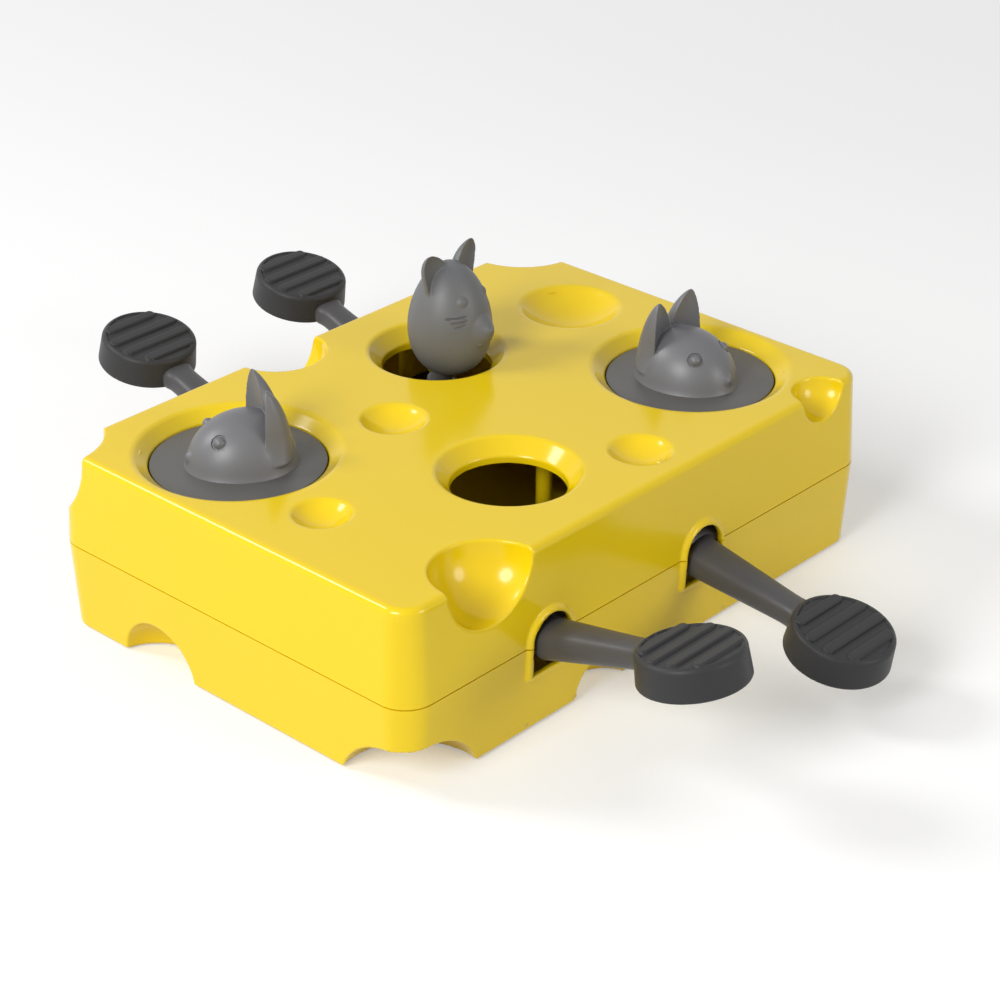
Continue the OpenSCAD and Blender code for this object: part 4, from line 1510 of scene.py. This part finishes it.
@dataclass
class HeadMouse:
    """A mouse's head on its disc: half an egg with a nose, two horn-like ears and two eyes."""

    side: str
    look: float
    crown_x: float = -4.0
    front: float = 26.3
    rear: float = 21.3
    half_w: float = 20.8
    high: float = 22.6
    ear_tip: float = 36.6
    eye: tuple[float, float, float] = (10.9, 10.5, 15.6)
    eye_sunk: float = 1.5
    flare: float = 1.2
    flare_h: float = 2.4
    nose_r: float = 2.4
    bead: float = 2.5
    bead_ring: float = 3.1
    disc_r: float = 38.2
    disc_top: float = 80.0
    disc_t: float = 3.0
    x: float = 97.3
    y: float = 44.5
    pitch: float = 0.5

    def sign(self) -> float:
        """Minus one for the left mouse, one for the right."""
        return -1.0 if self.side == "left" else 1.0

    def body(self) -> Body:
        """The swivel that the head rides on."""
        return Body.SWIVEL_LEFT if self.side == "left" else Body.SWIVEL_RIGHT

    def head_solid(self) -> Solid:
        """The head looking along X, standing on height zero.

        The dome is half an ellipsoid, longer in front of its crown than behind it; its distance
        is k0 (k0 - 1) / k1, where k0 is the length of p divided by the half sizes and k1 that of
        p divided by their squares. Its foot flares out onto the disc.

        Returns:
            The distance field.
        """
        ears = [Ear(side=s, x=-10.0, y=6.2, lean_x=0.0, lean_y=3.1, curl=1.9, low=0.0,
                    tip=self.ear_tip, half_w=9.5, depth=12.5, wide_power=2.9, deep_power=2.0,
                    cup=1.8, foot=3.2, skirt=6.0) for s in (-1, 1)]
        beads = []
        for s in (-1, 1):
            eye = np.array([self.eye[0], s * self.eye[1], self.eye[2]])
            out = (eye - (self.crown_x, 0, 0)) / np.array([self.front, self.half_w, self.high]) ** 2
            beads.append(eye - self.eye_sunk * out / np.linalg.norm(out))

        def solid(p: Array) -> Array:
            """The dome, its nose, the ears and the eyes, one after the other."""
            q = p - np.array([self.crown_x, 0.0, 0.0])
            half = np.where(q[:, 0] > 0, self.front, self.rear)
            size = np.stack([half, np.full(len(p), self.half_w), np.full(len(p), self.high)], 1)
            k0 = np.linalg.norm(q / size, axis=1)
            v = k0 * (k0 - 1) / (np.linalg.norm(q / size ** 2, axis=1) + 1e-9)
            v = v - self.flare * np.exp(-np.maximum(p[:, 2], 0) / self.flare_h)
            nose = (self.crown_x + self.front - 1.6, 0.0, 5.0)
            v = merged(v, ball(p, nose, self.nose_r), 1.4)
            for ear in ears:
                v = merged(v, ear.distance(p), 0.5)
            for bead in beads:
                v = add_eye(v, p, bead, self.bead, self.bead_ring)
            return within(v, -p[:, 2], 0.1)

        return solid

    def build(self, skin: Skin, solid: Solid) -> None:
        """Makes the head and its disc.

        Args:
            skin: The skin that both heads share.
            solid: The head's distance field, for its normals.
        """
        s, top = self.sign(), self.disc_top
        centre = shifted(s * self.x, -s * self.y, 0)
        place = turned(2, self.look).then(shifted(0, 0, top)).then(centre)
        add_piece(f"mouse_head_{self.side}", skin.moved(place), MOUSE, self.body(), Slot.MOUSE,
                  (f"head_mouse_{self.side}",), carried(solid, place))
        low, bore, neck_r = top - self.disc_t, 4.06, 8
        outline = soft_corners(
            [(bore, low - 3), (neck_r, low - 3), (neck_r, low), (self.disc_r - 1.2, low),
             (self.disc_r, top), (bore, top)], (0.4, 0.6, 0.4, 0.5), 5)
        add_piece(f"mouse_disc_{self.side}", lathe(outline, 128).moved(centre), DISC, self.body(),
                  Slot.DISC, (f"disc_{self.side}",))
        lever = Body.FRONT_LEFT if self.side == "left" else Body.REAR_RIGHT
        post = soft_corners([(0, 9), (7, 9), (7, 73.7), (4, 73.7), (4, 80.3), (0, 80.3)],
                            (0.4, 0.4, 0.3, 0.3), 3)
        add_piece(f"disc_post_{self.side}", lathe(post, 48).moved(centre), DARK, lever, Slot.LEVER,
                  (f"post_{self.side}",))


@dataclass
class EggMouse:
    """An egg-shaped mouse on a neck: round body, ears, eyes, snout, whiskers and paws.

    Its frame stands on height zero and looks along X; the ears' line is turned against the face
    by face_turn degrees.
    """

    radius: float = 19.1
    height: float = 55.0
    lean: float = 0.16
    face_turn: float = 6.0
    ears_turn: float = -87.0
    pitch: float = 0.5
    snout: tuple[float, float, float] = (25.2, -1.6, 5.2)
    nose: tuple[float, float, float] = (26.6, 2.8, 1.7)
    whisker_r: float = 0.5
    whiskers: tuple[tuple[float, ...], ...] = (
        (61.0, 34.2, 31.0, 34.6), (53.0, 32.2, 31.0, 32.8), (48.0, 30.2, 34.0, 31.0))
    paw: tuple[tuple[float, float, float], ...] = ((44.0, 24.6, -6.2), (12.0, 20.6, 0.2))
    paw_r: tuple[float, float] = (6.0, 1.2)
    eye: tuple[float, float, float] = (33.5, 40.4, -1.7)
    eye_r: float = 2.4
    stand: tuple[float, float] = (142.0, 34.5)
    neck_r: float = 5.0
    neck_h: float = 14.5

    def outline(self, z: Array) -> tuple[Array, Array]:
        """The egg's radius and its slope at a height.

        With c = 1 - 2 z / H the radius is R sqrt(1 - c^2) (1 + k c).

        Args:
            z: Heights.

        Returns:
            The radii and the slopes.
        """
        c = 1 - 2 * z / self.height
        s = np.sqrt(np.maximum(1 - c * c, 1e-9))
        steep = self.radius * (s * self.lean - c / s * (1 + self.lean * c)) * -2 / self.height
        return self.radius * s * (1 + self.lean * c), steep

    def on_face(self, degrees: float, z: float, out: float = 0.0) -> Array:
        """A point on the face.

        Args:
            degrees: Angle from the face's middle.
            z: Height.
            out: How far the point is moved out of the skin.

        Returns:
            The point.
        """
        r = float(self.outline(np.array([z]))[0][0]) + out
        a = math.radians(degrees + self.face_turn)
        return np.array([r * math.cos(a), r * math.sin(a), z])

    def body_solid(self) -> Solid:
        """The whole mouse as a distance field.

        The egg's distance is the radial one divided by the slant of its outline.

        Returns:
            The distance field.
        """
        ears = [Ear(side=s, x=2.0, y=6.6, lean_x=-2.3, lean_y=6.2, curl=0.9, low=41.0, tip=61.0,
                    half_w=7.8, depth=6.6, wide_power=4.0, deep_power=2.6, cup=1.8, foot=40.0,
                    turn=-0.13, sway=1.3, roundness=0.6) for s in (-1, 1)]

        def solid(p: Array) -> Array:
            """The egg, its snout and nose, whiskers, paws, eyes and ears, in this order."""
            z = np.clip(p[:, 2], 0.02, self.height - 0.02)
            r, steep = self.outline(z)
            v = (np.hypot(p[:, 0], p[:, 1]) - r) / np.sqrt(1 + steep * steep)
            over = np.abs(p[:, 2] - z)
            v = np.where(over > 0, np.hypot(np.maximum(v, 0), over), v)
            for (height, out, r), valley in ((self.snout, 4.0), (self.nose, 0.8)):
                v = merged(v, ball(p, self.on_face(0, height, out), r), valley)
            for s in (-1, 1):
                for a0, z0, a1, z1 in self.whiskers:
                    ends = self.on_face(s * a0, z0), self.on_face(s * a1, z1)
                    v = within(v, -self.rod(p, *ends, self.whisker_r, self.whisker_r), 0.2)
                ends = [self.on_face(s * a, z, out) for a, z, out in self.paw]
                v = merged(v, self.rod(p, *ends, *self.paw_r), 0.1)
                turn, high, out = self.eye
                v = merged(v, ball(p, self.on_face(s * turn, high, out), self.eye_r), 0.9)
            for ear in ears:
                v = merged(v, ear.distance(p), 0.5)
            return v

        return solid

    @staticmethod
    def rod(p: Array, a: Array, b: Array, ra: float, rb: float) -> Array:
        """Distance to a rod: that to its line, less a radius that changes evenly along it.

        Args:
            p: Points of shape (n, 3).
            a: First end.
            b: Second end.
            ra: Radius at the first end.
            rb: Radius at the second end.

        Returns:
            One distance for each point.
        """
        line = b - a
        t = np.clip((p - a) @ line / (line @ line), 0, 1)
        return np.linalg.norm(p - a - t[:, None] * line, axis=1) - (ra + (rb - ra) * t)

    def build(self, name: str, node: str, lever: Lever, skin: Skin, solid: Solid) -> None:
        """Stands one egg mouse on its lever.

        Args:
            name: Name of the piece.
            node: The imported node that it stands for.
            lever: The lever that carries it.
            skin: The skin that both egg mice share.
            solid: The egg's distance field, for its normals.
        """
        place = turned(2, self.ears_turn).then(shifted(lever.egg_aside, *self.stand))
        place = place.then(lever.upright(-lever.down_tilt))
        add_piece(name, skin.moved(place), EGG, lever.body, Slot.MOUSE, (node,),
                  carried(solid, place))
        r, h = self.neck_r, self.neck_h
        neck = soft_corners([(0, 0), (r, 0), (r, h), (0, h)], (0.3, 0.0), 3)
        seat = shifted(lever.egg_aside, lever.plate_y, lever.plate_z).then(lever.place())
        add_piece(f"{name}_neck", lathe(neck, 40).moved(seat), DISC, lever.body, Slot.MOUSE)


# ---- small parts --------------------------------------------------------------------------


@dataclass
class Fixings:
    """The pads under the case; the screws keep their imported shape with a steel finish."""

    pad_r: float = 9.0
    pad_x: float = 96.0
    pad_y: float = 76.32

    def build(self) -> None:
        """Makes the pads and gives every packed screw its finish."""
        outline = soft_corners([(0, -1), (self.pad_r, -1), (self.pad_r, 1), (0, 1)], (0.5, 0.2), 4)
        pads = [lathe(outline, 56).moved(shifted(sx * self.pad_x, sy * self.pad_y, 0))
                for sx in (-1, 1) for sy in (-1, 1)]
        add_piece("underside_pads", Skin.union(pads), RUBBER, Body.CASE, Slot.RUBBER,
                  ("foot_pads",))
        steel = STEEL.material()
        for name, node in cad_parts.items():
            if "screws" in name:
                node.data.materials.clear()
                node.data.materials.append(steel)


# ---- studio -------------------------------------------------------------------------------


@dataclass(frozen=True)
class Lamp:
    """A soft round lamp aimed at the middle of the toy: place, width in metres and power."""

    name: str
    place: tuple[float, float, float]
    size: float
    watts: float

    def build(self) -> None:
        """Adds the lamp."""
        data = bpy.data.lights.new(self.name, "AREA")
        data.shape, data.size, data.energy = "DISK", self.size, self.watts
        lamp = bpy.data.objects.new(self.name, data)
        bpy.context.scene.collection.objects.link(lamp)
        spot = np.array(self.place)
        back = spot / np.linalg.norm(spot)
        right = np.cross((0, 0, 1), back)
        right /= np.linalg.norm(right)
        aim(lamp, spot, right, np.cross(back, right), back)


def aim(thing: bpy.types.Object, spot: Array, right: Array, up: Array, back: Array) -> None:
    """Places an object by its own axes.

    Args:
        thing: The object.
        spot: Its place in metres.
        right: Its X axis.
        up: Its Y axis.
        back: Its Z axis.
    """
    m = np.eye(4)
    m[:3, 0], m[:3, 1], m[:3, 2], m[:3, 3] = right, up, back, spot
    thing.matrix_world = Matrix(m)


@dataclass
class Studio:
    """Camera, floor, lamps and surroundings."""

    focal_px: float = 2737.36
    image_px: float = 1000.0
    azimuth: float = -47.578
    elevation: float = 28.604
    roll: float = 0.3025
    distance: float = 1218.77
    target: tuple[float, float, float] = (6.787, -11.188, 40.0)
    floor_z: float = -1.0
    floor_half: float = 4000.0
    sky: float = 0.35
    floor_tone: float = 0.74
    floor_glow: float = 0.3
    fade: tuple[float, float] = (0.6, 2.5)
    lamps: tuple[Lamp, ...] = (
        Lamp("key", (-1.56, -0.23, 1.05), 0.8, 22.0),
        Lamp("rear", (-0.90, 1.20, 1.32), 0.6, 14.0),
        Lamp("front", (0.53, -1.89, 0.76), 0.8, 10.0))

    def build(self) -> None:
        """Sets up the whole studio."""
        self.add_camera()
        self.add_floor()
        self.add_world()
        for lamp in self.lamps:
            lamp.build()
        bpy.context.scene.view_settings.view_transform = "Standard"

    def add_camera(self) -> None:
        """Adds the camera where the photograph was taken from."""
        az, el, roll = (math.radians(v) for v in (self.azimuth, self.elevation, self.roll))
        back = np.array([math.sin(az) * math.cos(el), -math.cos(az) * math.cos(el), math.sin(el)])
        right = np.array([math.cos(az), math.sin(az), 0.0])
        up = np.cross(back, right)
        right, up = (math.cos(roll) * right + math.sin(roll) * up,
                     -math.sin(roll) * right + math.cos(roll) * up)
        data = bpy.data.cameras.new("photograph")
        data.sensor_width = 36.0
        data.lens = self.focal_px / self.image_px * data.sensor_width
        data.clip_start, data.clip_end = 0.05, 50.0
        camera = bpy.data.objects.new("photograph", data)
        bpy.context.scene.collection.objects.link(camera)
        spot = (np.array(self.target) + back * self.distance) * MM
        aim(camera, spot, right, up, back)
        bpy.context.scene.camera = camera

    def add_floor(self) -> None:
        """Adds the white floor, which keeps the toy's shadow and fades to plain white far off."""
        h, z = self.floor_half, self.floor_z
        points = np.array([[-h, -h, z], [h, -h, z], [h, h, z], [-h, h, z]], float)
        mesh = make_mesh("studio_floor", Skin(points, [np.array([[0, 1, 2, 3]])]))
        floor = bpy.data.objects.new("studio_floor", mesh)
        bpy.context.scene.collection.objects.link(floor)
        mat = bpy.data.materials.new("studio_white")
        mat.use_nodes = True
        tree = mat.node_tree
        tree.nodes.remove(tree.nodes["Principled BSDF"])
        place = shader_node(tree, "TexCoord").outputs["Object"]
        away = shader_node(tree, "VectorMath", links={0: place}, operation="LENGTH")
        away = away.outputs["Value"]
        tone = ramp(tree, away, self.floor_tone, 0.0, self.fade)
        matte = shader_node(tree, "BsdfDiffuse", links={"Color": tone})
        level = ramp(tree, away, self.floor_glow, 1.0, self.fade)
        shown = shader_node(tree, "Math", links={0: level, 1: self.seen(tree)},
                            operation="MULTIPLY")
        glow = shader_node(tree, "Emission", {"Color": WHITE}, {"Strength": shown.outputs[0]})
        both = shader_node(tree, "AddShader", links={0: matte.outputs[0], 1: glow.outputs[0]})
        tree.links.new(both.outputs[0], tree.nodes["Material Output"].inputs["Surface"])
        mesh.materials.append(mat)
        floor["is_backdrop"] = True

    def add_world(self) -> None:
        """Adds the surroundings: white where they are seen, softer where they light."""
        world = bpy.data.worlds.new("studio")
        bpy.context.scene.world = world
        world.use_nodes = True
        tree = world.node_tree
        sky = tree.nodes["Background"]
        sky.inputs["Color"].default_value = WHITE
        level = ramp(tree, self.seen(tree), self.sky, 1.0, (0.0, 1.0))
        tree.links.new(level, sky.inputs["Strength"])

    @staticmethod
    def seen(tree: Nodes) -> Socket:
        """One for what is seen straight, in a gloss or through glass, and none for light.

        Args:
            tree: The nodes to add to.

        Returns:
            The sum of the three kinds of ray, held to one.
        """
        path = shader_node(tree, "LightPath")
        total = path.outputs["Is Camera Ray"]
        for kind in ("Is Glossy Ray", "Is Transmission Ray"):
            both = shader_node(tree, "Math", links={0: total, 1: path.outputs[kind]},
                               operation="ADD")
            both.use_clamp = True
            total = both.outputs[0]
        return total


def write_sizes(before: Sequence[Sequence[float]]) -> None:
    """Args:
        before: The box from straight after loading.
    """
    boxes = {"cad": before, "visual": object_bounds()}
    plain = {k: [[float(x) for x in corner] for corner in v] for k, v in boxes.items()}


def main() -> None:
    """Builds the toy and its studio."""
    logging.basicConfig(level=logging.INFO, format="%(message)s")
    coarse = 1.0
    Case().build()
    outer_x, inner_x, high, low = -62.5, 37.0, 11.3, -12.4
    front_left = Lever(Body.FRONT_LEFT, outer_x, high, 0.0, True)
    front_right = Lever(Body.FRONT_RIGHT, inner_x, low, 0.0, False, (-2.5, 1.4, 1.8))
    rear_left = Lever(Body.REAR_LEFT, inner_x, high, 180.0, False)
    rear_right = Lever(Body.REAR_RIGHT, outer_x, high, 180.0, True)
    solid = front_left.pedal_solid()
    pedal = Moulder(0.6 * coarse).skin(solid, (-24.5, -24.5, -1.1), (24.5, 24.5, 16.6))
    for lever in (front_left, front_right, rear_left, rear_right):
        lever.build(pedal, solid)
    heads = (HeadMouse("left", 152.0), HeadMouse("right", -90.0))
    solid = heads[0].head_solid()
    skin = Moulder(heads[0].pitch * coarse).skin(solid, (-27, -23.5, -1.2), (28, 23.5, 38))
    for mouse in heads:
        mouse.build(skin, solid)
    egg = EggMouse()
    solid = egg.body_solid()
    skin = Moulder(egg.pitch * coarse).skin(solid, (-21.5, -21.5, -1.2), (27, 26, 63))
    egg.build("egg_mouse_raised", "egg_mouse_rear", front_right, skin, solid)
    egg.build("egg_mouse_lowered", "egg_mouse_front", rear_left, skin, solid)
    Fixings().build()
    Studio().build()
    write_sizes(CAD_BOX)


if __name__ == "__main__":
    main()
